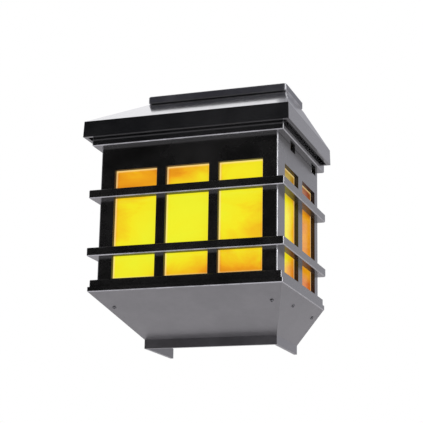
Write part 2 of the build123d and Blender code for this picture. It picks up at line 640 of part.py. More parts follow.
with BuildPart() as module_base:
    with BuildSketch(Plane.XY.offset(tub_foot_z)):
        plan(tub_inner_width - 2 * FIT, tub_inner_front - FIT, tub_inner_back + FIT)
        with Locations(((room_left + room_right) / 2, battery_y)):
            Rectangle(battery_room, room_width, mode=Mode.SUBTRACT)
        with Locations(switch_spot):
            Rectangle(knob_slot_length, knob_slot_width, mode=Mode.SUBTRACT)
        with Locations((0, diffuser_y)):
            with GridLocations(LAMP_SPACING, 0, 2, 1):
                Circle(LAMP_RADIUS + FIT, mode=Mode.SUBTRACT)
    extrude(amount=BASE_PLATE)
    with BuildSketch(Plane.XY.offset(base_plate_z)):
        for end_x in (room_left - CONTACT_SHEET - GUIDE_WEB / 2, room_right + CONTACT_SHEET + GUIDE_WEB / 2):
            with Locations((end_x, battery_y)):
                Rectangle(GUIDE_WEB, room_width)
    extrude(amount=2 * BATTERY_RADIUS)
    with BuildSketch(Plane.XY.offset(base_plate_z)):
        with Locations((0, circuit_y)):
            with GridLocations(board_length - 3 * POST_RADIUS, 0, 2, 1):
                Circle(POST_RADIUS)
    extrude(amount=BOARD_STANDOFF)
    with BuildSketch(Plane.XY.offset(tub_foot_z)):
        with Locations((lip_x, battery_y)):
            with GridLocations(0, 2 * guide_y, 1, 2):
                Rectangle(cover_length, GUIDE_WEB)
    extrude(amount=-(COVER_THICKNESS + 2 * RUNNING_GAP + GUIDE_LIP))
    with BuildSketch(Plane.XY.offset(cover_top_z - COVER_THICKNESS - RUNNING_GAP)):
        with Locations((lip_x, battery_y)):
            with GridLocations(LIP_SPACING, 2 * (guide_y - GUIDE_LIP), 2, 2):
                Rectangle(LIP_LENGTH, GUIDE_WEB)
    extrude(amount=-GUIDE_LIP)
    screw_holes(module_seats, SMALL_SCREW_RADIUS + SCREW_GAP, SMALL_SCREW_LENGTH)

with BuildPart() as module_screws:
    pan_screws(module_seats, SMALL_SCREW_RADIUS, SMALL_SCREW_LENGTH, SMALL_HEAD_RADIUS, SMALL_HEAD_HEIGHT)

with BuildPart() as battery_cover:
    with BuildSketch(Plane.XY.offset(cover_top_z)):
        with Locations((lip_x, battery_y)):
            Rectangle(cover_length, cover_width)
        with Locations((lip_x - COVER_TRAVEL, battery_y)):
            with GridLocations(LIP_SPACING, cover_width, 2, 2):
                Rectangle(LIP_LENGTH + 2 * RUNNING_GAP, 2 * GUIDE_LIP, mode=Mode.SUBTRACT)
    extrude(amount=-COVER_THICKNESS)
    with BuildSketch(Plane.XY.offset(cover_top_z - COVER_THICKNESS)):
        with Locations((lip_x, battery_y)):
            with GridLocations(GRIP_PITCH, 0, GRIP_RIBS, 1):
                Rectangle(GRIP_PITCH / 2, GRIP_LENGTH)
    extrude(amount=-GRIP_HEIGHT)

with BuildPart() as battery:
    with BuildSketch(Plane.YZ.offset(BATTERY_CENTRE - BATTERY_LENGTH / 2)):
        with Locations((battery_y, battery_z)):
            Circle(BATTERY_RADIUS)
    extrude(amount=BATTERY_LENGTH)
    chamfer(battery.edges().filter_by(GeomType.CIRCLE), EDGE_BREAK)
    with BuildSketch(Plane.YZ.offset(BATTERY_CENTRE + BATTERY_LENGTH / 2)):
        with Locations((battery_y, battery_z)):
            Circle(BATTERY_NUB_RADIUS)
    extrude(amount=BATTERY_NUB)

with BuildPart() as battery_contacts:
    with BuildSketch(Plane.YZ.offset(room_right)):
        with Locations((battery_y, battery_z)):
            Rectangle(room_width - 2 * GUIDE_LIP, BATTERY_RADIUS)
    extrude(amount=CONTACT_SHEET)
    with BuildSketch(Plane.YZ.offset(room_left - CONTACT_SHEET)):
        with Locations((battery_y, battery_z)):
            Rectangle(room_width - 2 * GUIDE_LIP, BATTERY_RADIUS)
    extrude(amount=CONTACT_SHEET)
    with BuildSketch(Plane.YZ.offset(room_left)):
        with Locations((battery_y, battery_z)):
            Circle(SPRING_RADIUS)
            Circle(SPRING_RADIUS - SPRING_WIRE, mode=Mode.SUBTRACT)
    extrude(amount=SPRING_LENGTH)

with BuildPart() as circuit_board:
    with BuildSketch(Plane.XY.offset(circuit_z)):
        with Locations((0, circuit_y)):
            Rectangle(board_length, BOARD_DEPTH)
    extrude(amount=BOARD_THICKNESS)

with BuildPart() as lamps:
    with BuildSketch(Plane.XY.offset(circuit_z)):
        with Locations((0, diffuser_y)):
            with GridLocations(LAMP_SPACING, 0, 2, 1):
                Circle(LAMP_RADIUS)
    extrude(amount=-LAMP_LENGTH)
    chamfer(lamps.faces().group_by(Axis.Z)[0].edges(), LAMP_RADIUS / 2)

with BuildPart() as light_diffuser:
    with BuildSketch(Plane.XY.offset(tub_foot_z)):
        with Locations((0, diffuser_y)):
            Circle(DIFFUSER_RADIUS)
    extrude(amount=-DIFFUSER_LENGTH)
    chamfer(light_diffuser.faces().sort_by(Axis.Z)[0].edges(), DIFFUSER_CHAMFER)
    offset(amount=-DIFFUSER_WALL, openings=light_diffuser.faces().sort_by(Axis.Z)[-1])

with BuildPart() as switch_body:
    with BuildSketch(Plane.XY.offset(base_plate_z)):
        with Locations(switch_spot):
            Rectangle(SWITCH_LENGTH, SWITCH_WIDTH)
            Rectangle(knob_slot_length, knob_slot_width, mode=Mode.SUBTRACT)
    extrude(amount=BOARD_STANDOFF)

with BuildPart() as switch_slider:
    with BuildSketch(Plane.XY.offset(tub_foot_z - KNOB_REACH)):
        with Locations((SWITCH_PLACE - SWITCH_TRAVEL / 2, circuit_y)):
            Rectangle(KNOB_LENGTH, KNOB_WIDTH)
    extrude(amount=KNOB_REACH + BASE_PLATE + BOARD_STANDOFF - RUNNING_GAP)

with BuildPart() as panel_leads:
    with BuildSketch(Plane.XY.offset(circuit_z + BOARD_THICKNESS)):
        with Locations(*lead_places):
            Circle(LEAD_RADIUS)
    extrude(amount=board_z - circuit_z - BOARD_THICKNESS)

pieces = {
    "lantern_body": lantern_body,
    "front_pane": front_pane,
    "left_pane": left_pane,
    "right_pane": right_pane,
    "lower_rail": rails["lower_rail"],
    "upper_rail": rails["upper_rail"],
    "base_tray": base_tray,
    "bottom_corbel": bottom_corbel,
    "corbel_screws": corbel_screws,
    "cornice": cornice,
    "roof_cover": roof_cover,
    "roof_screws": roof_screws,
    "back_plate": back_plate,
    "back_plate_screws": back_plate_screws,
    "wall_bracket": wall_bracket,
    "module_frame": module_frame,
    "module_gasket": module_gasket,
    "panel_board": panel_board,
    "solar_cells": solar_cells,
    "panel_glass": panel_glass,
    "module_base": module_base,
    "module_screws": module_screws,
    "battery_cover": battery_cover,
    "battery": battery,
    "battery_contacts": battery_contacts,
    "circuit_board": circuit_board,
    "lamps": lamps,
    "light_diffuser": light_diffuser,
    "switch_body": switch_body,
    "switch_slider": switch_slider,
    "panel_leads": panel_leads,
}

os.makedirs("parts", exist_ok=True)
for name, piece in pieces.items():
    piece.part.label = name
    export_step(piece.part, f"parts/{name}.step")
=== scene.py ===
import math

import bpy
from bpy.props import (
    FloatProperty,
    FloatVectorProperty,
    PointerProperty,
)
from bpy.types import Operator, Panel, PropertyGroup
from mathutils import Matrix, Vector


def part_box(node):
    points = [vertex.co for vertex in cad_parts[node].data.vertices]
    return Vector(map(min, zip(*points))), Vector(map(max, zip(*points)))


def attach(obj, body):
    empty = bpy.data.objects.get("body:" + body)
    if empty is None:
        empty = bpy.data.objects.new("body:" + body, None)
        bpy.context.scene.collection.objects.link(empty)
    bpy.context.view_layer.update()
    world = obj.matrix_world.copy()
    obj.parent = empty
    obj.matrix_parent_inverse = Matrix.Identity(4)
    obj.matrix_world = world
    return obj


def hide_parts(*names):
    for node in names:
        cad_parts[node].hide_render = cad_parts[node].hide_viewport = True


bl_info = {
    "name": "Fence Lantern Finishes",
    "version": (1, 0, 0),
    "blender": (4, 5, 0),
    "location": "3D View > Sidebar > Lantern",
    "description": "Screws, panes, plastics, solar panel and studio for a half lantern that hangs on a fence",
    "category": "Object",
}

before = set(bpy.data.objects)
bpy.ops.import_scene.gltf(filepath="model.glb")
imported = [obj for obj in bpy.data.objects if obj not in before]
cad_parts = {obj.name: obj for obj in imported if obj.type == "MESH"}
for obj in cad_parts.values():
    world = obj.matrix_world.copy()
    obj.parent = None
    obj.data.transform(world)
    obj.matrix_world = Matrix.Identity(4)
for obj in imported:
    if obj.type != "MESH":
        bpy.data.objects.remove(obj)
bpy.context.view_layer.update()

LANTERN_CENTRE = Vector((0.0, -0.055, -0.02))

# The corbel's screws, front and sides: the point under each head, and the way out of its head
CORBEL_SCREWS = [
    ((side * 0.0570, -0.0902, -0.09304), (0.0, -0.4078, -0.9131))
    for side in (-1, 1)
] + [
    ((side * 0.06365, depth, -0.0920), (side * 0.7836, 0.0, -0.6213))
    for side in (-1, 1)
    for depth in (-0.0120, -0.0616)
]

# Shanks as radius and length, heads as radius and height, in metres
SMALL_SHANK = (0.0009, 0.006)
LARGE_SHANK = (0.0012, 0.008)
LARGE_HEAD = (0.0024, 0.0014)
PLAIN_SMALL_HEAD = (0.0017, 0.0008)     # in the solids
LOWER_SCREW_X = 0.051                   # the back plate's lower screws, from the middle

# The windows of a wall: from one middle to the next, half the width of one, and where one middle is
FRONT_WINDOWS = {"Pitch": 0.0384, "Half width": 0.01585, "Centre": 0.0}
SIDE_WINDOWS = {"Pitch": 0.0450, "Half width": 0.01725, "Centre": -0.02525}

# The glow of the panes: levels between which it changes, and distances in metres
HEAD_LEVELS = (-0.020, -0.012)       # dimmer towards the roof
FOOT_LEVELS = (-0.058, -0.0765)      # dimmer towards the base
SHADE_LEVELS = (-0.020, -0.011)      # in the roof's shade
BAND_LEVEL = -0.036                  # middle of the bright band
BAND_REACH = (0.002, 0.042)          # from the band, where it is brightest and where it ends
SIDE_MARGIN = 0.0030                 # from the sides of a window
# How far the painted paler glow by the frame reaches
RIM_REACH = 0.0018                   # from the frame of a window

# Silicon cells, with two busbars and many thin fingers on each
CELL_COLUMNS = 5         # cells from left to right
BUSBAR_PLACE = 0.27      # share of a cell's width from its edges
BUSBAR_HALF = 0.022      # half its width, as a share of the cell's
FINGER_PITCH = 0.0016
FINGER_SHARE = 0.12      # share of the pitch that is metal

BATTERY_END = 0.0035     # length of the bare metal end

# Lamps of the studio: name, place, size, and the property that holds the power
LAMPS = (
    ("overhead_lamp", (0.25, -0.20, 1.35), (1.1, 1.1), "key"),
    ("strip_lamp", (1.12, -0.52, 0.30), (0.80, 1.1), "side"),
    ("rim_lamp", (-0.68, 1.27, 0.92), (0.56, 0.62), "rim"),
)

# The photograph's view
CAMERA_PLACE = (0.2933, -0.8800, -0.2474)
CAMERA_ANGLES = (-19.52, 14.61, 1.03)     # yaw, pitch and roll in degrees


# ---------------------------------------------------------------- sizes and colours

def colour(name, description, default):
    """A colour that a user can change."""
    return FloatVectorProperty(
        name=name, description=description, subtype="COLOR", size=3, min=0.0, max=1.0, default=default)


def length(name, description, default):
    """A size in metres that a user can change."""
    return FloatProperty(
        name=name, description=description, unit="LENGTH", subtype="DISTANCE", min=0.0, default=default)


def share(name, description, default, top=1.0):
    """A plain number that a user can change."""
    return FloatProperty(
        name=name, description=description, subtype="FACTOR", min=0.0, max=top, default=default)


def power(name, description, default):
    """A lamp's power that a user can change."""
    return FloatProperty(name=name, description=description, subtype="POWER", default=default)


class LanternPlastic(PropertyGroup):
    """The black moulded plastic."""
    # The body's tone is darker than the roof's: painted shade under the roof's overhang. The corbel's tone is
    # far lighter: painted light that its downward faces catch from the floor.
    body: colour("Body", "Colour of the body, its rails and its base", (0.0085, 0.0083, 0.0085))
    roof: colour("Roof", "Colour of the roof and the frieze", (0.0150, 0.0155, 0.0175))
    corbel: colour("Corbel", "Colour of the corbel", (0.074, 0.071, 0.081))
    module: colour("Module", "Colour of the solar module", (0.060, 0.060, 0.076))
    dust: colour("Dust", "Colour of the dust and haze on the mouldings", (0.19, 0.18, 0.18))
    # Painted highlight on the edges: a light, metallic colour on the rounded upright corners and along the
    # lower edges
    highlight_tone: colour("Edge highlight", "Colour of the highlighted edges", (0.60, 0.60, 0.63))
    corner_highlight: share("Corner highlight", "How far the upright corners are highlighted", 0.90)
    lower_edge_highlight: share("Edge wear", "How far the lower edges are highlighted", 0.80)
    grain: length("Grain", "Size of the texture of the mould", 0.0009)


class LanternPanes(PropertyGroup):
    """The amber art glass and how it glows."""
    deep: colour("Deep", "Colour where the glass glows least", (0.56, 0.09, 0.006))
    orange: colour("Orange", "Colour halfway", (0.86, 0.38, 0.010))
    yellow: colour("Yellow", "Colour of most of the glass", (0.88, 0.76, 0.014))
    pale: colour("Pale", "Colour where the glass glows most", (0.84, 0.84, 0.024))
    # Painted highlight: the glow turns to this paler colour close to the frame
    rim: colour("Rim", "Colour of the glass close to the edge of a window", (1.0, 0.78, 0.32))
    glow: share("Glow", "Strength of the light that comes through the glass", 1.0, 3.0)
    streak: length("Streak", "Length of the streaks in the glass", 0.030)


class LanternScrews(PropertyGroup):
    """The pan-head screws."""
    head_radius: length("Head", "Radius of the small screws' heads", 0.00130)
    head_height: length("Height", "Height of the small screws' heads", 0.0007)
    steel: colour("Steel", "Colour of the blackened screws", (0.17, 0.17, 0.18))


class LanternStudio(PropertyGroup):
    """The floor, the lamps and the camera."""
    floor_drop: length("Floor", "Distance from the wall screws down to the floor", 0.62)
    key: power("Overhead lamp", "Power of the lamp above", 13.0)
    side: power("Strip lamp", "Power of the strip on the right", 7.5)
    rim: power("Rim lamp", "Power of the lamp behind", 0.75)
    ambient: share("Ambient", "Level of the light from all round", 0.24)
    lens: FloatProperty(name="Lens", description="Focal length", unit="CAMERA", default=106.886)


# ---------------------------------------------------------------- shader nodes

def put(tree, kind, place, values=None, **settings):
    """Adds a shader node at a place in the editor, with its settings and the values of its sockets."""
    made = tree.nodes.new("ShaderNode" + kind)
    made.location = place
    for key, value in settings.items():
        setattr(made, key, value)
    for key, value in (values or {}).items():
        made.inputs[key].default_value = value
    return made


def wire(tree, *pairs):
    """Links sockets: each pair is (node, output) and (node, input)."""
    for (source, out), (target, into) in pairs:
        tree.links.new(source.outputs[out], target.inputs[into])


def maths(tree, operation, place, *values, clamp=False):
    """Adds a Math node with the values of its sockets."""
    return put(tree, "Math", place, dict(enumerate(values)), operation=operation, use_clamp=clamp)


def ramp(tree, place, source=(0.0, 1.0), target=(0.0, 1.0), smooth=False):
    """Adds a Map Range node that takes one range to another, straight or eased at both ends."""
    ends = dict(zip(("From Min", "From Max", "To Min", "To Max"), source + target))
    return put(tree, "MapRange", place, ends, interpolation_type="SMOOTHSTEP" if smooth else "LINEAR")


def rgba(tone):
    """A colour with its alpha."""
    return (*tone, 1.0)


def mix_colours(tree, place, first=None, second=None):
    """Adds a Mix node for colours: the factor goes in at 0, the colours at 6 and 7, and 2 is the result."""
    made = put(tree, "Mix", place, data_type="RGBA")
    for socket, tone in ((6, first), (7, second)):
        if tone:
            made.inputs[socket].default_value = rgba(tone)
    return made


def mix_numbers(tree, place, socket, value):
    """Adds a Mix node for numbers: the factor goes in at 0, the numbers at 2 and 3, and 0 is the result."""
    return put(tree, "Mix", place, {socket: value})


def new_group(name, inputs, outputs):
    """Starts a shader node group with named sockets, and returns it with its two end nodes."""
    group = bpy.data.node_groups.new(name, "ShaderNodeTree")
    for label, kind, default in inputs:
        socket = group.interface.new_socket(name=label, in_out="INPUT", socket_type="NodeSocket" + kind)
        socket.default_value = default
    for label, kind in outputs:
        group.interface.new_socket(name=label, in_out="OUTPUT", socket_type="NodeSocket" + kind)
    start = group.nodes.new("NodeGroupInput")
    start.location = (-1200, 0)
    end = group.nodes.new("NodeGroupOutput")
    end.location = (900, 0)
    return group, start, end


def group_node(tree, name, place, values=None):
    """Places a node group in a material."""
    made = tree.nodes.new("ShaderNodeGroup")
    made.node_tree = bpy.data.node_groups[name]
    made.location = place
    for key, value in (values or {}).items():
        made.inputs[key].default_value = value
    return made


def make_moulded_skin():
    """Moulded plastic: fine grain, cloudy sheen, and dust on what faces up."""
    group, start, end = new_group(
        "Moulded skin",
        [("Colour", "Color", (0.01, 0.01, 0.01, 1)), ("Dust", "Color", (0.2, 0.2, 0.2, 1)),
         ("Dust amount", "Float", 0.2), ("Haze", "Float", 0.1),
         ("Grain scale", "Float", 1100.0), ("Smooth", "Float", 0.3), ("Dull", "Float", 0.5)],
        [("Colour", "Color"), ("Roughness", "Float"), ("Height", "Float")])
    place = put(group, "TexCoord", (-1200, -400))
    grain = put(group, "TexNoise", (-900, -200), {"Detail": 4.0, "Roughness": 0.6})
    speck = put(group, "TexVoronoi", (-900, -480), {"Randomness": 1.0}, feature="SMOOTH_F1")
    cloud = put(group, "TexNoise", (-900, 120), {"Scale": 34.0, "Detail": 5.0, "Roughness": 0.62})
    patch_noise = put(group, "TexNoise", (-900, 380), {"Scale": 9.0, "Detail": 3.0, "Roughness": 0.5})
    wire(group, ((place, "Object"), (grain, "Vector")), ((place, "Object"), (cloud, "Vector")),
         ((place, "Object"), (speck, "Vector")), ((place, "Object"), (patch_noise, "Vector")),
         ((start, "Grain scale"), (grain, "Scale")), ((start, "Grain scale"), (speck, "Scale")))
    blend = maths(group, "ADD", (-640, 200), 0.0, 0.0)
    half = maths(group, "MULTIPLY", (-440, 200), 0.0, 0.5)
    wire(group, ((cloud, "Fac"), (blend, 0)), ((patch_noise, "Fac"), (blend, 1)), ((blend, 0), (half, 0)))
    rough = ramp(group, (-220, 120), (0.3, 0.7))
    wire(group, ((half, 0), (rough, "Value")), ((start, "Smooth"), (rough, "To Min")),
         ((start, "Dull"), (rough, "To Max")), ((rough, "Result"), (end, "Roughness")))
    tint = ramp(group, (-220, 420), (0.3, 0.7), (0.75, 1.3))
    wire(group, ((cloud, "Fac"), (tint, "Value")))
    shade = put(group, "VectorMath", (40, 420), operation="SCALE")
    wire(group, ((start, "Colour"), (shade, 0)), ((tint, "Result"), (shade, "Scale")))
    normal = put(group, "NewGeometry", (-900, 640))
    split = put(group, "SeparateXYZ", (-660, 640))
    up = ramp(group, (-440, 640), (0.35, 0.98), smooth=True)
    lie = maths(group, "MULTIPLY", (-220, 640))
    film = maths(group, "MULTIPLY", (-220, 860))
    patch = ramp(group, (-440, 860), (0.36, 0.66), smooth=True)
    settle = maths(group, "MULTIPLY", (0, 640))
    cover = maths(group, "ADD", (160, 640), clamp=True)
    wire(group, ((normal, "Normal"), (split, 0)), ((split, "Z"), (up, "Value")), ((up, "Result"), (lie, 0)),
         ((cloud, "Fac"), (lie, 1)), ((lie, 0), (settle, 0)), ((start, "Dust amount"), (settle, 1)),
         ((half, 0), (patch, "Value")), ((patch, "Result"), (film, 0)), ((start, "Haze"), (film, 1)),
         ((settle, 0), (cover, 0)), ((film, 0), (cover, 1)))
    mix = mix_colours(group, (300, 420))
    wire(group, ((cover, 0), (mix, 0)), ((shade, 0), (mix, 6)), ((start, "Dust"), (mix, 7)),
         ((mix, 2), (end, "Colour")))
    tall = maths(group, "MULTIPLY", (-220, -200), 1.0, 0.6)
    sum_height = maths(group, "ADD", (40, -260), 0.0, 0.0)
    wire(group, ((grain, "Fac"), (tall, 0)), ((tall, 0), (sum_height, 0)),
         ((speck, "Distance"), (sum_height, 1)), ((sum_height, 0), (end, "Height")))


def make_painted_edge_highlight():
    """Painted highlights, light and metallic, on the rounded upright corners and on the downward flats along
    the lower edges, broken up.
    """
    group, start, end = new_group(
        "Edge wear",
        [("Colour", "Color", (0.01, 0.01, 0.01, 1)), ("Worn", "Color", (0.3, 0.3, 0.3, 1)),
         ("Corners", "Float", 0.5), ("Lower edges", "Float", 0.5)],
        [("Colour", "Color"), ("Mask", "Float")])
    # Painted highlight: faces whose normal leans both ways (rounded corners), and faces that lean down
    # towards the floor
    normal = put(group, "NewGeometry", (-1200, 200))
    split = put(group, "SeparateXYZ", (-1020, 200))
    both = maths(group, "MULTIPLY", (-840, 360))
    size = maths(group, "ABSOLUTE", (-660, 360))
    corner = ramp(group, (-480, 360), (0.12, 0.40), smooth=True)
    low = ramp(group, (-840, 60), (-0.35, -0.60), smooth=True)
    flat = ramp(group, (-840, -200), (-0.95, -0.80), smooth=True)
    lower = maths(group, "MULTIPLY", (-480, 60))
    place = put(group, "TexCoord", (-1200, -460))
    patch_noise = put(group, "TexNoise", (-1020, -460), {"Scale": 95.0, "Detail": 5.0, "Roughness": 0.6})
    broken = ramp(group, (-840, -460), (0.30, 0.62), (0.55, 1.0))
    upright = maths(group, "MULTIPLY", (-280, 360))
    under = maths(group, "MULTIPLY", (-280, 60))
    most = maths(group, "MAXIMUM", (-100, 200))
    mask = maths(group, "MULTIPLY", (80, 60), clamp=True)
    mix = mix_colours(group, (400, 160))
    wire(group, ((normal, "Normal"), (split, 0)), ((split, "X"), (both, 0)), ((split, "Y"), (both, 1)),
         ((both, 0), (size, 0)), ((size, 0), (corner, "Value")), ((split, "Z"), (low, "Value")),
         ((split, "Z"), (flat, "Value")), ((low, "Result"), (lower, 0)), ((flat, "Result"), (lower, 1)),
         ((corner, "Result"), (upright, 0)), ((start, "Corners"), (upright, 1)), ((lower, 0), (under, 0)),
         ((start, "Lower edges"), (under, 1)), ((upright, 0), (most, 0)), ((under, 0), (most, 1)),
         ((place, "Object"), (patch_noise, "Vector")), ((patch_noise, "Fac"), (broken, "Value")), ((most, 0), (mask, 0)),
         ((broken, "Result"), (mask, 1)), ((mask, 0), (mix, 0)), ((start, "Colour"), (mix, 6)),
         ((start, "Worn"), (mix, 7)), ((mix, 2), (end, "Colour")), ((mask, 0), (end, "Mask")))


def make_window_glow():
    """Art glass lit from behind: a bright band on the lean, wispy streaks, and a painted paler glow by the
    frame.
    """
    group, start, end = new_group(
        "Window glow",
        [("Along", "Float", 0.0), ("Up", "Float", 0.0), ("Pitch", "Float", 0.0384),
         ("Half width", "Float", 0.0158), ("Centre", "Float", 0.0), ("Band along", "Float", 0.0),
         ("Lean", "Float", 0.68), ("Level", "Float", 0.8), ("Head shade", "Float", 0.0),
         ("Streak scale", "Float", 22.0),
         ("Deep", "Color", (0.6, 0.1, 0.01, 1)), ("Orange", "Color", (1, 0.4, 0.02, 1)),
         ("Yellow", "Color", (0.9, 0.8, 0.03, 1)), ("Pale", "Color", (0.9, 0.9, 0.06, 1)),
         ("Rim", "Color", (1, 0.8, 0.3, 1))],
        [("Colour", "Color"), ("Tint", "Color"), ("Ripple", "Float")])

    # Streaks and ripples in the glass
    place = put(group, "TexCoord", (-1200, -500))
    stretch = put(group, "Mapping", (-1000, -500), {"Rotation": (0.0, 0.6, 0.0), "Scale": (0.55, 0.55, 1.1)})
    streak = put(group, "TexNoise", (-780, -420), {"Detail": 6.0, "Roughness": 0.58, "Distortion": 1.6})
    ripple = put(group, "TexNoise", (-780, -700),
                 {"Scale": 120.0, "Detail": 3.0, "Roughness": 0.5, "Distortion": 0.6})
    wisp = ramp(group, (-520, -420), (0.30, 0.70), (-0.12, 0.12))
    wire(group, ((place, "Object"), (stretch, 0)), ((stretch, 0), (streak, "Vector")),
         ((place, "Object"), (ripple, "Vector")), ((start, "Streak scale"), (streak, "Scale")),
         ((ripple, "Fac"), (end, "Ripple")), ((streak, "Fac"), (wisp, "Value")))

    # Dimmer near the sides of a window, by the distance to the nearest window's middle
    off = maths(group, "SUBTRACT", (-1000, 300))
    turns = maths(group, "DIVIDE", (-820, 300))
    near = maths(group, "ADD", (-640, 300), 0.0, 0.5)
    part = maths(group, "FRACT", (-460, 300))
    mid = maths(group, "SUBTRACT", (-280, 300), 0.0, 0.5)
    away = maths(group, "ABSOLUTE", (-100, 300))
    metres = maths(group, "MULTIPLY", (80, 300))
    wire(group, ((start, "Along"), (off, 0)), ((start, "Centre"), (off, 1)), ((off, 0), (turns, 0)),
         ((start, "Pitch"), (turns, 1)), ((turns, 0), (near, 0)), ((near, 0), (part, 0)),
         ((part, 0), (mid, 0)), ((mid, 0), (away, 0)), ((away, 0), (metres, 0)),
         ((start, "Pitch"), (metres, 1)))
    inner = maths(group, "SUBTRACT", (80, 120), 0.0, SIDE_MARGIN)
    edge = ramp(group, (280, 260), target=(0.0, 0.12), smooth=True)
    wire(group, ((start, "Half width"), (inner, 0)), ((metres, 0), (edge, "Value")),
         ((inner, 0), (edge, "From Min")), ((start, "Half width"), (edge, "From Max")))

    # The band: distance to a line that leans across the wall
    sine = maths(group, "SINE", (-1000, 900))
    cosine = maths(group, "COSINE", (-1000, 740))
    run = maths(group, "SUBTRACT", (-1000, 1060))
    rise = maths(group, "ADD", (-1000, 580), 0.0, -BAND_LEVEL)
    across = maths(group, "MULTIPLY", (-800, 980))
    upward = maths(group, "MULTIPLY", (-800, 660))
    gap = maths(group, "SUBTRACT", (-600, 820))
    size = maths(group, "ABSOLUTE", (-420, 820))
    band = ramp(group, (-240, 820), BAND_REACH, (0.0, 0.30), smooth=True)
    wire(group, ((start, "Lean"), (sine, 0)), ((start, "Lean"), (cosine, 0)), ((start, "Along"), (run, 0)),
         ((start, "Band along"), (run, 1)), ((start, "Up"), (rise, 0)), ((run, 0), (across, 0)),
         ((sine, 0), (across, 1)), ((rise, 0), (upward, 0)), ((cosine, 0), (upward, 1)),
         ((upward, 0), (gap, 0)), ((across, 0), (gap, 1)), ((gap, 0), (size, 0)),
         ((size, 0), (band, "Value")))

    # Dimmer towards the roof and towards the base
    head = ramp(group, (-640, 60), HEAD_LEVELS, (0.0, 0.17), smooth=True)
    foot = ramp(group, (-640, -160), FOOT_LEVELS, (0.0, 0.20), smooth=True)
    last, out = wisp, "Result"
    for index, source in enumerate((band, head, foot, edge)):
        less = maths(group, "SUBTRACT", (-260 + 180 * index, -300 + 60 * index))
        wire(group, ((last, out), (less, 0)), ((source, "Result"), (less, 1)))
        last, out = less, 0
    level = maths(group, "ADD", (460, -120), clamp=True)
    wire(group, ((last, 0), (level, 0)), ((start, "Level"), (level, 1)))
    wire(group, ((start, "Up"), (head, "Value")), ((start, "Up"), (foot, "Value")))

    # Colour by level, from deep to pale
    last, out = start, "Deep"
    for index, (low, high, name) in enumerate((
            (0.20, 0.50, "Orange"), (0.48, 0.74, "Yellow"), (0.72, 0.94, "Pale"))):
        step = ramp(group, (640, 200 - 240 * index), (low, high))
        mix = mix_colours(group, (820, 200 - 240 * index))
        wire(group, ((level, 0), (step, "Value")), ((step, "Result"), (mix, 0)),
             ((last, out), (mix, 6)), ((start, name), (mix, 7)))
        last, out = mix, 2

    # In the roof's shade at the head, and a painted paler glow close to the frame
    shade = ramp(group, (640, 460), SHADE_LEVELS, smooth=True)
    weigh = maths(group, "MULTIPLY", (820, 460))
    keep = maths(group, "SUBTRACT", (1000, 460), 1.0)
    dimmed = put(group, "VectorMath", (1180, 300), operation="SCALE")
    tint = put(group, "VectorMath", (1180, 60), {"Scale": 0.25}, operation="SCALE")
    hollow = put(group, "AmbientOcclusion", (640, 700), {"Distance": RIM_REACH}, samples=8)
    close = ramp(group, (820, 700), (0.95, 0.70), (0.0, 0.65), smooth=True)
    lit = mix_colours(group, (1360, 460))
    end.location = (1560, 0)
    wire(group, ((start, "Up"), (shade, "Value")), ((shade, "Result"), (weigh, 0)),
         ((start, "Head shade"), (weigh, 1)), ((weigh, 0), (keep, 1)), ((last, out), (dimmed, 0)),
         ((keep, 0), (dimmed, "Scale")), ((dimmed, 0), (lit, 6)), ((hollow, "AO"), (close, "Value")),
         ((close, "Result"), (lit, 0)), ((start, "Rim"), (lit, 7)), ((lit, 2), (end, "Colour")),
         ((dimmed, 0), (tint, 0)), ((tint, 0), (end, "Tint")))


def make_worn_metal():
    """Sheet and screw metal: drawn lines, cloudy sheen and a duller tint in spots."""
    group, start, end = new_group(
        "Worn metal",
        [("Colour", "Color", (0.5, 0.5, 0.5, 1)), ("Tarnish", "Color", (0.2, 0.2, 0.2, 1)),
         ("Scale", "Float", 60.0), ("Smooth", "Float", 0.25), ("Dull", "Float", 0.5)],
        [("Colour", "Color"), ("Roughness", "Float"), ("Height", "Float")])
    place = put(group, "TexCoord", (-1200, -300))
    draw = put(group, "Mapping", (-1000, -300), {"Scale": (0.06, 1.0, 1.0)})
    lines = put(group, "TexNoise", (-800, -300), {"Scale": 2600.0, "Detail": 2.0})
    spots = put(group, "TexNoise", (-800, 100), {"Detail": 6.0, "Roughness": 0.65})
    wire(group, ((place, "Object"), (draw, 0)), ((draw, 0), (lines, "Vector")),
         ((place, "Object"), (spots, "Vector")), ((start, "Scale"), (spots, "Scale")),
         ((lines, "Fac"), (end, "Height")))
    mask = ramp(group, (-500, 100), (0.42, 0.72), smooth=True)
    mix = mix_colours(group, (-200, 200))
    rough = ramp(group, (-200, -60))
    wire(group, ((spots, "Fac"), (mask, "Value")), ((mask, "Result"), (mix, 0)),
         ((start, "Colour"), (mix, 6)), ((start, "Tarnish"), (mix, 7)), ((mix, 2), (end, "Colour")),
         ((mask, "Result"), (rough, "Value")), ((start, "Smooth"), (rough, "To Min")),
         ((start, "Dull"), (rough, "To Max")), ((rough, "Result"), (end, "Roughness")))


def new_material(name):
    """A material with a Principled shader, ready for its other nodes."""
    material = bpy.data.materials.new(name)
    material.use_nodes = True
    shader = material.node_tree.nodes["Principled BSDF"]
    shader.location = (300, 0)
    material.node_tree.nodes["Material Output"].location = (640, 0)
    return material, material.node_tree, shader


def emboss(tree, source, out, shader, strength, distance):
    """Turns a height into the shader's normal."""
    bump = put(tree, "Bump", (40, -260), {"Strength": strength, "Distance": distance})
    wire(tree, ((source, out), (bump, "Height")), ((bump, "Normal"), (shader, "Normal")))


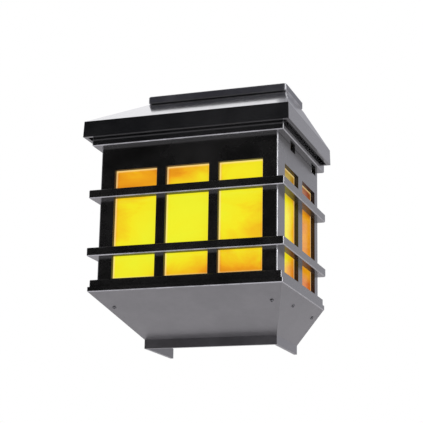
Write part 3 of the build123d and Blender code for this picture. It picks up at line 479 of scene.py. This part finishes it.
def skin_material(name, tone, smooth, dull, grain, dust=0.16, haze=0.08, relief=0.35, painted_highlight=1.0):
    """Moulded plastic, rubber or paint, with its roughness from smooth to dull."""
    plastic = bpy.context.scene.lantern_plastic
    material, tree, shader = new_material(name)
    skin = group_node(tree, "Moulded skin", (-560, 0), {
        "Colour": rgba(tone), "Dust": rgba(plastic.dust), "Dust amount": dust,
        "Haze": haze, "Grain scale": 1.0 / grain, "Smooth": smooth, "Dull": dull})
    # Painted highlight on the corners and lower edges: a lighter colour, and metallic so that it mirrors the
    # room
    edges = group_node(tree, "Edge wear", (-260, 120), {
        "Worn": rgba(plastic.highlight_tone), "Corners": painted_highlight * plastic.corner_highlight,
        "Lower edges": painted_highlight * plastic.lower_edge_highlight})
    emboss(tree, skin, "Height", shader, relief, 0.00004)
    wire(tree, ((skin, "Colour"), (edges, "Colour")), ((edges, "Colour"), (shader, "Base Color")),
         ((skin, "Roughness"), (shader, "Roughness")), ((edges, "Mask"), (shader, "Metallic")))
    return material, shader


def polish(shader, specular, coat, roughness):
    """Gives moulded plastic the sheen of its skin."""
    shader.inputs["Specular IOR Level"].default_value = specular
    shader.inputs["Coat Weight"].default_value = coat
    shader.inputs["Coat Roughness"].default_value = roughness


def metal_material(name, tone, tarnish, scale, smooth, dull):
    """Bare or plated metal."""
    material, tree, shader = new_material(name)
    metal = group_node(tree, "Worn metal", (-260, 0), {
        "Colour": rgba(tone), "Tarnish": rgba(tarnish), "Scale": scale, "Smooth": smooth, "Dull": dull})
    wire(tree, ((metal, "Colour"), (shader, "Base Color")), ((metal, "Roughness"), (shader, "Roughness")))
    emboss(tree, metal, "Height", shader, 0.15, 0.00002)
    shader.inputs["Metallic"].default_value = 1.0
    return material


def dress(material, *names):
    """Gives CAD nodes a material."""
    for name in names:
        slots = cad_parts[name].data.materials
        slots.clear()
        slots.append(material)


# ---------------------------------------------------------------- modelling helpers

def leave_selection():
    """Deselects everything, in object mode."""
    if bpy.context.object and bpy.context.object.mode != "OBJECT":
        bpy.ops.object.mode_set(mode="OBJECT")
    bpy.ops.object.select_all(action="DESELECT")


def pick_faces(piece, test):
    """Selects, in edit mode, the faces whose centre and normal pass a test."""
    bpy.ops.object.mode_set(mode="EDIT")
    bpy.ops.mesh.select_mode(type="FACE")
    bpy.ops.mesh.select_all(action="DESELECT")
    bpy.ops.object.mode_set(mode="OBJECT")
    for face in piece.data.polygons:
        face.select = test(face.center, face.normal)
    bpy.ops.object.mode_set(mode="EDIT")


def discard(piece):
    """Removes an object and its mesh."""
    mesh = piece.data
    bpy.data.objects.remove(piece)
    bpy.data.meshes.remove(mesh)


def model_screw(name, shank, head):
    """One pan-head screw with a cross recess, its head up, seated at the origin."""
    radius, length = shank
    head_radius, head_height = head
    rounding = head_height * 0.55
    tip_length = length * 0.2
    tip_share = 0.25
    recess = (head_radius * 1.05, head_radius * 0.26, head_height * 1.1)
    leave_selection()
    bpy.ops.mesh.primitive_cylinder_add(
        vertices=32, radius=head_radius, depth=head_height, end_fill_type="NGON",
        location=(0, 0, head_height / 2))
    screw = bpy.context.object
    screw.name = name
    bpy.ops.object.transform_apply(location=True, rotation=True, scale=True)
    pick_faces(screw, lambda centre, normal: normal.z > 0.9)
    bpy.ops.mesh.bevel(offset=rounding, offset_type="OFFSET", segments=4, affect="EDGES")
    pick_faces(screw, lambda centre, normal: normal.z < -0.9)
    bpy.ops.mesh.inset(thickness=head_radius - radius)
    bpy.ops.mesh.extrude_region_move(TRANSFORM_OT_translate={"value": (0, 0, tip_length - length)})
    bpy.ops.mesh.extrude_region_move(TRANSFORM_OT_translate={"value": (0, 0, -tip_length)})
    bpy.ops.transform.resize(value=(tip_share, tip_share, 1.0))
    bpy.ops.object.mode_set(mode="OBJECT")
    cutters = []
    for turn in (0.0, math.pi / 2):
        leave_selection()
        bpy.ops.mesh.primitive_cube_add(size=1.0, location=(0, 0, head_height), rotation=(0, 0, turn))
        arm = bpy.context.object
        arm.scale = recess
        bpy.ops.object.transform_apply(location=True, rotation=True, scale=True)
        cutters.append(arm)
    for arm in cutters:
        cut = screw.modifiers.new("recess", "BOOLEAN")
        cut.object = arm
        cut.operation = "DIFFERENCE"
        cut.solver = "EXACT"
        leave_selection()
        bpy.context.view_layer.objects.active = screw
        bpy.ops.object.modifier_apply(modifier=cut.name)
    for arm in cutters:
        discard(arm)
    return screw


def set_screws(screw, seats, name):
    """Copies a screw to each seat, turned to face out of it, and joins the copies into one piece."""
    first_spin, next_spin = 0.4, 0.9     # turns of the recesses, in radians
    copies = []
    for index, (point, outward) in enumerate(seats):
        copy = screw.copy()
        copy.data = screw.data.copy()
        bpy.context.scene.collection.objects.link(copy)
        turn = Vector(outward).to_track_quat("Z", "Y").to_matrix().to_4x4()
        spin = Matrix.Rotation(first_spin + next_spin * index, 4, "Z")
        copy.data.transform(Matrix.Translation(Vector(point)) @ turn @ spin)
        copies.append(copy)
    leave_selection()
    for copy in copies:
        copy.select_set(True)
    bpy.context.view_layer.objects.active = copies[0]
    bpy.ops.object.join()
    joined = copies[0]
    joined.name = name
    bpy.ops.object.shade_smooth_by_angle(angle=math.radians(32))
    return joined


# ---------------------------------------------------------------- operators

class LANTERN_OT_plastics(Operator):
    """Finish the black mouldings of the body, roof, rails, corbel and solar module"""
    bl_idname = "lantern.plastics"
    bl_label = "Black mouldings"

    def execute(self, context):
        plastic = context.scene.lantern_plastic
        make_moulded_skin()
        make_painted_edge_highlight()
        mouldings = (
            # The body's darker tone is painted shade under the roof
            ("Body plastic", plastic.body, 0.20, 0.34, {"relief": 0.2}, (0.9, 0.9, 0.18),
             ("lantern_body", "lower_rail", "upper_rail", "base_tray")),
            ("Roof plastic", plastic.roof, 0.09, 0.16,
             {"dust": 0.10, "haze": 0.06, "relief": 0.08, "painted_highlight": 0.4}, (0.9, 0.9, 0.07), ("roof_cover",)),
            ("Frieze plastic", plastic.roof, 0.10, 0.20, {"relief": 0.1}, (0.9, 0.9, 0.10), ("cornice",)),
            # The corbel's lighter tone is painted light from the floor below
            ("Corbel plastic", plastic.corbel, 0.28, 0.46, {"haze": 0.30, "painted_highlight": 0.0}, (1.0, 0.9, 0.32),
             ("bottom_corbel",)),
            ("Module plastic", plastic.module, 0.30, 0.48, {"dust": 0.14, "haze": 0.10}, (0.8, 0.5, 0.35),
             ("module_frame", "module_base", "battery_cover")),
        )
        for name, tone, smooth, dull, skin, sheen, nodes in mouldings:
            material, shader = skin_material(name, tone, smooth, dull, plastic.grain, **skin)
            polish(shader, *sheen)
            dress(material, *nodes)
        others = (
            ("Gasket rubber", (0.012, 0.012, 0.012), 0.6, 0.85, 0.0006, ("module_gasket",)),
            ("White plastic", (0.62, 0.62, 0.60), 0.3, 0.5, 0.0008, ("switch_body", "switch_slider")),
            ("Lead covering", (0.40, 0.02, 0.015), 0.35, 0.5, 0.0006, ("panel_leads",)),
        )
        for name, tone, smooth, dull, grain, nodes in others:
            material, _ = skin_material(name, tone, smooth, dull, grain, painted_highlight=0.0)
            dress(material, *nodes)
        return {"FINISHED"}


class LANTERN_OT_panes(Operator):
    """Give the three panes their amber art glass, lit from inside"""
    bl_idname = "lantern.panes"
    bl_label = "Amber panes"

    def execute(self, context):
        panes = context.scene.lantern_panes
        make_window_glow()
        walls = (
            ("Front glass", ("front_pane",), "X", 0.95,
             {**FRONT_WINDOWS, "Band along": 0.0, "Lean": 0.68, "Level": 0.93}),
            ("Side glass", ("left_pane", "right_pane"), "Y", 0.82,
             {**SIDE_WINDOWS, "Band along": -0.080, "Lean": 1.35, "Level": 0.75, "Head shade": 0.52}),
        )
        glossy_share = 0.3     # of the glow, in what other pieces mirror
        for name, nodes, axis, strength, values in walls:
            bright = strength * panes.glow
            material, tree, shader = new_material(name)
            place = put(tree, "TexCoord", (-760, 0))
            split = put(tree, "SeparateXYZ", (-560, 0))
            glow = group_node(tree, "Window glow", (-300, 0), {
                "Streak scale": 1.0 / panes.streak, "Deep": rgba(panes.deep), "Orange": rgba(panes.orange),
                "Yellow": rgba(panes.yellow), "Pale": rgba(panes.pale), "Rim": rgba(panes.rim), **values})
            path = put(tree, "LightPath", (-560, -420))
            dim = ramp(tree, (-300, -420), target=(bright, glossy_share * bright))
            wire(tree, ((place, "Object"), (split, 0)), ((split, axis), (glow, "Along")),
                 ((split, "Z"), (glow, "Up")), ((glow, "Tint"), (shader, "Base Color")),
                 ((glow, "Colour"), (shader, "Emission Color")), ((path, "Is Glossy Ray"), (dim, "Value")),
                 ((dim, "Result"), (shader, "Emission Strength")))
            emboss(tree, glow, "Ripple", shader, 0.3, 0.0004)
            shader.inputs["Roughness"].default_value = 0.28
            shader.inputs["Emission Strength"].default_value = bright
            dress(material, *nodes)
        return {"FINISHED"}


class LANTERN_OT_metalwork(Operator):
    """Finish the wall bracket, the back plate and the battery's contacts"""
    bl_idname = "lantern.metalwork"
    bl_label = "Metalwork"

    def execute(self, context):
        make_worn_metal()
        zinc = metal_material("Zinc plate", (0.56, 0.57, 0.60), (0.34, 0.34, 0.36), 90.0, 0.28, 0.48)
        dress(zinc, "wall_bracket")
        brass = metal_material("Nickel brass", (0.66, 0.60, 0.45), (0.45, 0.38, 0.24), 120.0, 0.2, 0.4)
        dress(brass, "battery_contacts")
        paint, _ = skin_material("Black paint", (0.014, 0.014, 0.015), 0.35, 0.5, 0.0005)
        dress(paint, "back_plate")
        return {"FINISHED"}


class LANTERN_OT_screws(Operator):
    """Model the cross-recessed screws and set them where the plain ones are"""
    bl_idname = "lantern.screws"
    bl_label = "Screws"

    def execute(self, context):
        screws = context.scene.lantern_screws
        steel = metal_material("Screw steel", screws.steel, (0.09, 0.09, 0.09), 400.0, 0.25, 0.5)
        small = model_screw("small_screw", SMALL_SHANK, (screws.head_radius, screws.head_height))
        large = model_screw("large_screw", LARGE_SHANK, LARGE_HEAD)
        sets = (
            ("corbel_screws", small, CORBEL_SCREWS, "lantern"),
            ("module_screws", small, self.seats("module_screws", PLAIN_SMALL_HEAD), "solar_module"),
            ("roof_screws", large, self.seats("roof_screws", LARGE_HEAD), "lantern"),
            ("back_plate_screws", large, self.back_seats(), "lantern"),
        )
        for node, screw, seats, body in sets:
            piece = set_screws(screw, seats, node + "_detailed")
            piece.data.materials.clear()
            piece.data.materials.append(steel)
            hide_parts(node)
            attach(piece, body)
        for screw in (small, large):
            discard(screw)
        return {"FINISHED"}

    def seats(self, node, head):
        """Seats at the four corners of a node's box, facing down."""
        low, high = (Vector(corner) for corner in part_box(node))
        radius, height = head
        level = low.z + height
        return [((x, y, level), (0, 0, -1))
                for x in (low.x + radius, high.x - radius)
                for y in (low.y + radius, high.y - radius)]

    def back_seats(self):
        """The back plate's screws: two near the roof, and two near the base that stand closer together."""
        low, high = (Vector(corner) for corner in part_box("back_plate_screws"))
        radius, height = LARGE_HEAD
        face = high.y - height
        top = high.z - radius
        foot = low.z + radius
        wide = high.x - radius
        places = ((-wide, top), (wide, top), (-LOWER_SCREW_X, foot), (LOWER_SCREW_X, foot))
        return [((x, face, z), (0, 1, 0)) for x, z in places]


class LANTERN_OT_module(Operator):
    """Finish the solar panel, the board, the battery, the lamps and their tube"""
    bl_idname = "lantern.module"
    bl_label = "Solar module"

    def execute(self, context):
        self.cells()
        self.cover_glass()
        self.boards()
        self.battery()
        self.lamp_tube()
        return {"FINISHED"}

    def cells(self):
        """Dark blue silicon with fine fingers and two busbars on each cell."""
        low, high = (Vector(corner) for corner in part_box("solar_cells"))
        pitch = (high.x - low.x) / CELL_COLUMNS
        material, tree, shader = new_material("Silicon cells")
        place = put(tree, "TexCoord", (-1100, 0))
        split = put(tree, "SeparateXYZ", (-920, 0))
        shift = maths(tree, "SUBTRACT", (-740, 160), 0.0, low.x)
        cell = maths(tree, "DIVIDE", (-560, 160), 0.0, pitch)
        spot = maths(tree, "FRACT", (-380, 160))
        off = maths(tree, "PINGPONG", (-200, 160), 0.0, 0.5)
        bar = maths(tree, "COMPARE", (-20, 160), 0.0, BUSBAR_PLACE, BUSBAR_HALF)
        rows = maths(tree, "DIVIDE", (-740, -80), 0.0, FINGER_PITCH)
        row = maths(tree, "FRACT", (-560, -80))
        finger = maths(tree, "LESS_THAN", (-380, -80), 0.0, FINGER_SHARE)
        metal = maths(tree, "MAXIMUM", (160, 60))
        flakes = put(tree, "TexVoronoi", (-560, -320), {"Scale": 260.0})
        tone = mix_colours(tree, (160, -160), (0.004, 0.008, 0.035), (0.012, 0.022, 0.085))
        final = mix_colours(tree, (360, 60), second=(0.42, 0.43, 0.45))
        shader.location = (600, 0)
        tree.nodes["Material Output"].location = (900, 0)
        wire(tree, ((place, "Object"), (split, 0)), ((place, "Object"), (flakes, "Vector")),
             ((split, "X"), (shift, 0)), ((shift, 0), (cell, 0)), ((cell, 0), (spot, 0)),
             ((spot, 0), (off, 0)), ((off, 0), (bar, 0)), ((split, "Y"), (rows, 0)), ((rows, 0), (row, 0)),
             ((row, 0), (finger, 0)), ((bar, 0), (metal, 0)), ((finger, 0), (metal, 1)),
             ((flakes, "Color"), (tone, 0)), ((tone, 2), (final, 6)), ((metal, 0), (final, 0)),
             ((final, 2), (shader, "Base Color")))
        shader.inputs["Roughness"].default_value = 0.22
        dress(material, "solar_cells")

    def cover_glass(self):
        """Clear cover over the cells, faintly hazed."""
        material, tree, shader = new_material("Clear cover")
        place = put(tree, "TexCoord", (-700, 0))
        haze = put(tree, "TexNoise", (-500, 0), {"Scale": 40.0, "Detail": 5.0})
        rough = ramp(tree, (-260, 0), target=(0.02, 0.12))
        wire(tree, ((place, "Object"), (haze, "Vector")), ((haze, "Fac"), (rough, "Value")),
             ((rough, "Result"), (shader, "Roughness")))
        shader.inputs["Base Color"].default_value = (0.94, 0.97, 0.98, 1.0)
        shader.inputs["Transmission Weight"].default_value = 1.0
        shader.inputs["IOR"].default_value = 1.45
        dress(material, "panel_glass")

    def boards(self):
        """Green boards with paler tracks."""
        material, tree, shader = new_material("Green board")
        place = put(tree, "TexCoord", (-900, 0))
        tracks = put(tree, "TexBrick", (-600, 0), {
            "Color1": (0.010, 0.085, 0.030, 1), "Color2": (0.014, 0.105, 0.038, 1),
            "Mortar": (0.03, 0.19, 0.07, 1), "Scale": 120.0, "Mortar Size": 0.04,
            "Brick Width": 0.9, "Row Height": 0.3})
        grain = put(tree, "TexNoise", (-600, -320), {"Scale": 700.0, "Detail": 2.0})
        rough = ramp(tree, (-300, -320), target=(0.25, 0.42))
        wire(tree, ((place, "Object"), (tracks, "Vector")), ((place, "Object"), (grain, "Vector")),
             ((tracks, "Color"), (shader, "Base Color")), ((grain, "Fac"), (rough, "Value")),
             ((rough, "Result"), (shader, "Roughness")))
        dress(material, "panel_board", "circuit_board")

    def battery(self):
        """Plain sleeve with a bare metal end."""
        right_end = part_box("battery")[1][0]
        material, tree, shader = new_material("Battery sleeve")
        place = put(tree, "TexCoord", (-900, 0))
        split = put(tree, "SeparateXYZ", (-700, 0))
        end = maths(tree, "GREATER_THAN", (-500, 0), 0.0, right_end - BATTERY_END)
        scuff = put(tree, "TexNoise", (-700, -260), {"Scale": 180.0, "Detail": 4.0})
        rough = ramp(tree, (-460, -260), target=(0.18, 0.34))
        tone = mix_colours(tree, (-240, 0), (0.018, 0.11, 0.07), (0.62, 0.62, 0.63))
        wire(tree, ((place, "Object"), (split, 0)), ((place, "Object"), (scuff, "Vector")),
             ((split, "X"), (end, 0)), ((end, 0), (tone, 0)), ((tone, 2), (shader, "Base Color")),
             ((end, 0), (shader, "Metallic")), ((scuff, "Fac"), (rough, "Value")),
             ((rough, "Result"), (shader, "Roughness")))
        dress(material, "battery")

    def lamp_tube(self):
        """Warm lamps in a frosted tube, both cloudy; the tube's glow is painted light from the lamps inside
        it.
        """
        shadow = 0.86     # share of the tone that the cloudy spots go down to
        for name, node, tone, strength, rough in (
                ("Lamp epoxy", "lamps", (1.0, 0.72, 0.30), 1.0, 0.15),
                # The frosted tube glows by itself: painted light standing in for the lamps' light through it
                ("Frosted tube", "light_diffuser", (0.95, 0.78, 0.45), 0.55, 0.45)):
            material, tree, shader = new_material(name)
            place = put(tree, "TexCoord", (-900, 0))
            cloud = put(tree, "TexNoise", (-700, 0), {"Scale": 60.0, "Detail": 4.0})
            mix = mix_colours(tree, (-300, 0), tone, [shadow * part for part in tone])
            wire(tree, ((place, "Object"), (cloud, "Vector")), ((cloud, "Fac"), (mix, 0)),
                 ((mix, 2), (shader, "Base Color")), ((mix, 2), (shader, "Emission Color")))
            emboss(tree, cloud, "Fac", shader, 0.1, 0.0002)
            shader.inputs["Roughness"].default_value = rough
            shader.inputs["Emission Strength"].default_value = strength
            dress(material, node)


class LANTERN_OT_studio(Operator):
    """Set up the floor, the backdrop, the lamps and the camera"""
    bl_idname = "lantern.studio"
    bl_label = "Studio"

    def execute(self, context):
        studio = context.scene.lantern_studio
        self.floor(studio)
        self.surroundings(context, studio)
        for name, place, size, strength in LAMPS:
            self.lamp(context, name, place, size, getattr(studio, strength))
        self.camera(context, studio)
        context.scene.view_settings.view_transform = "Standard"
        return {"FINISHED"}

    def floor(self, studio):
        """A pale floor, seen white, that keeps its shadows and can't be seen from below."""
        leave_selection()
        bpy.ops.mesh.primitive_plane_add(size=10.0, location=(0, 0, -studio.floor_drop))
        floor = bpy.context.object
        floor.name = "studio_floor"
        bpy.ops.object.transform_apply(location=True, rotation=True, scale=True)
        material, tree, shader = new_material("Pale floor")
        place = put(tree, "TexCoord", (-900, 200))
        grain = put(tree, "TexNoise", (-700, 200), {"Scale": 3.0, "Detail": 6.0})
        tone = mix_colours(tree, (-300, 200), (0.86, 0.86, 0.85), (0.92, 0.92, 0.91))
        shader.inputs["Roughness"].default_value = 0.8
        shader.inputs["Specular IOR Level"].default_value = 0.1

        # White to the camera and in gloss, where the glow fades behind the lantern
        glow = put(tree, "Emission", (300, -420))
        path = put(tree, "LightPath", (-300, -300))
        cool = mix_colours(tree, (80, -700), (0.97, 0.94, 1.0), (1, 1, 1))
        split = put(tree, "SeparateXYZ", (-500, -560))
        far = ramp(tree, (-300, -560), (0.5, 1.9), (1.1, 0.62), smooth=True)
        level = mix_numbers(tree, (80, -900), 3, 1.0)
        seen = maths(tree, "MAXIMUM", (-80, -300))
        white = maths(tree, "MAXIMUM", (80, -420))
        share_white = maths(tree, "MULTIPLY", (240, -560), 1.0, 0.8)

        # Clear from below
        back = put(tree, "NewGeometry", (300, -760))
        clear = put(tree, "BsdfTransparent", (560, -600))
        blend = put(tree, "MixShader", (640, -200))
        one_sided = put(tree, "MixShader", (860, -200))
        out = tree.nodes["Material Output"]
        out.location = (1080, -200)

        wire(tree, ((place, "Object"), (grain, "Vector")), ((grain, "Fac"), (tone, 0)),
             ((tone, 2), (shader, "Base Color")), ((path, "Is Camera Ray"), (seen, 0)),
             ((path, "Is Glossy Ray"), (seen, 1)), ((seen, 0), (white, 0)),
             ((path, "Is Transmission Ray"), (white, 1)), ((white, 0), (share_white, 0)),
             ((share_white, 0), (blend, 0)), ((shader, 0), (blend, 1)), ((glow, 0), (blend, 2)),
             ((back, "Backfacing"), (one_sided, 0)), ((blend, 0), (one_sided, 1)),
             ((clear, 0), (one_sided, 2)), ((one_sided, 0), (out, 0)), ((path, "Is Camera Ray"), (cool, 0)),
             ((cool, 2), (glow, "Color")), ((place, "Object"), (split, 0)), ((split, "Y"), (far, "Value")),
             ((path, "Is Camera Ray"), (level, 0)), ((far, "Result"), (level, 2)),
             ((level, 0), (glow, "Strength")))
        floor.data.materials.append(material)

    def surroundings(self, context, studio):
        """White where it is seen, with a dark side of the room in front of the lantern for gloss."""
        world = bpy.data.worlds.new("Studio")
        context.scene.world = world
        world.use_nodes = True
        tree = world.node_tree
        back = tree.nodes["Background"]
        back.location = (500, 0)
        tree.nodes["World Output"].location = (760, 0)
        place = put(tree, "TexCoord", (-900, 0))
        split = put(tree, "SeparateXYZ", (-700, 0))
        room = ramp(tree, (-500, 0), (-0.35, 0.35), (0.014, 0.55), smooth=True)
        path = put(tree, "LightPath", (-500, -320))
        gloss = mix_numbers(tree, (-200, 0), 2, studio.ambient)
        seen = maths(tree, "MAXIMUM", (-200, -320))
        final = mix_numbers(tree, (100, 0), 3, 1.0)
        sides = ramp(tree, (-500, 260), (-0.3, 0.3), (0.6, 1.05))
        level = maths(tree, "MULTIPLY", (-340, 120))
        wire(tree, ((place, "Generated"), (split, 0)), ((split, "Y"), (room, "Value")),
             ((path, "Is Glossy Ray"), (gloss, 0)), ((split, "X"), (sides, "Value")),
             ((room, "Result"), (level, 0)), ((sides, "Result"), (level, 1)), ((level, 0), (gloss, 3)),
             ((path, "Is Camera Ray"), (seen, 0)), ((path, "Is Transmission Ray"), (seen, 1)),
             ((seen, 0), (final, 0)), ((gloss, 0), (final, 2)), ((final, 0), (back, "Strength")))
        cool = mix_colours(tree, (300, 260), (1, 1, 1), (0.93, 0.92, 1.0))
        wire(tree, ((path, "Is Glossy Ray"), (cool, 0)), ((cool, 2), (back, "Color")))

    def lamp(self, context, name, place, size, strength):
        """A soft box that faces the lantern."""
        data = bpy.data.lights.new(name, "AREA")
        data.shape = "RECTANGLE"
        data.size, data.size_y = size
        data.energy = strength
        lamp = bpy.data.objects.new(name, data)
        context.scene.collection.objects.link(lamp)
        lamp.location = place
        lamp.rotation_euler = (LANTERN_CENTRE - Vector(place)).to_track_quat("-Z", "Y").to_euler()

    def camera(self, context, studio):
        """The photograph's view: from below on the right, looking up."""
        yaw, pitch, roll = (math.radians(angle) for angle in CAMERA_ANGLES)
        forward = Vector((math.sin(yaw) * math.cos(pitch), math.cos(yaw) * math.cos(pitch), math.sin(pitch)))
        level = Vector((math.cos(yaw), -math.sin(yaw), 0.0))
        rise = level.cross(forward)
        right = math.cos(roll) * level + math.sin(roll) * rise
        up = -math.sin(roll) * level + math.cos(roll) * rise
        data = bpy.data.cameras.new("camera")
        data.lens = studio.lens
        data.sensor_width = 36.0
        data.clip_start = 0.01
        camera = bpy.data.objects.new("camera", data)
        context.scene.collection.objects.link(camera)
        turn = Matrix((right, up, -forward)).transposed().to_4x4()
        camera.matrix_world = Matrix.Translation(CAMERA_PLACE) @ turn
        context.scene.camera = camera


class LANTERN_PT_finishes(Panel):
    """The lantern's finishes in the sidebar"""
    bl_idname = "LANTERN_PT_finishes"
    bl_label = "Fence lantern"
    bl_space_type = "VIEW_3D"
    bl_region_type = "UI"
    bl_category = "Lantern"

    def draw(self, context):
        scene = context.scene
        for group in (scene.lantern_plastic, scene.lantern_panes, scene.lantern_screws, scene.lantern_studio):
            box = self.layout.box()
            for name in group.__annotations__:
                box.prop(group, name)
        for operator in OPERATORS:
            self.layout.operator(operator.bl_idname)


GROUPS = (
    ("lantern_plastic", LanternPlastic),
    ("lantern_panes", LanternPanes),
    ("lantern_screws", LanternScrews),
    ("lantern_studio", LanternStudio),
)
OPERATORS = (
    LANTERN_OT_plastics,
    LANTERN_OT_panes,
    LANTERN_OT_metalwork,
    LANTERN_OT_screws,
    LANTERN_OT_module,
    LANTERN_OT_studio,
)


def register():
    """Registers the groups, the operators and the panel."""
    for name, group in GROUPS:
        bpy.utils.register_class(group)
        setattr(bpy.types.Scene, name, PointerProperty(type=group))
    for operator in OPERATORS:
        bpy.utils.register_class(operator)
    bpy.utils.register_class(LANTERN_PT_finishes)


def unregister():
    """Takes them out again."""
    bpy.utils.unregister_class(LANTERN_PT_finishes)
    for operator in reversed(OPERATORS):
        bpy.utils.unregister_class(operator)
    for name, group in reversed(GROUPS):
        delattr(bpy.types.Scene, name)
        bpy.utils.unregister_class(group)


def main():
    """Runs every step in order."""
    register()
    bpy.ops.lantern.plastics()
    bpy.ops.lantern.panes()
    bpy.ops.lantern.metalwork()
    bpy.ops.lantern.screws()
    bpy.ops.lantern.module()
    bpy.ops.lantern.studio()


if __name__ == "__main__":
    main()
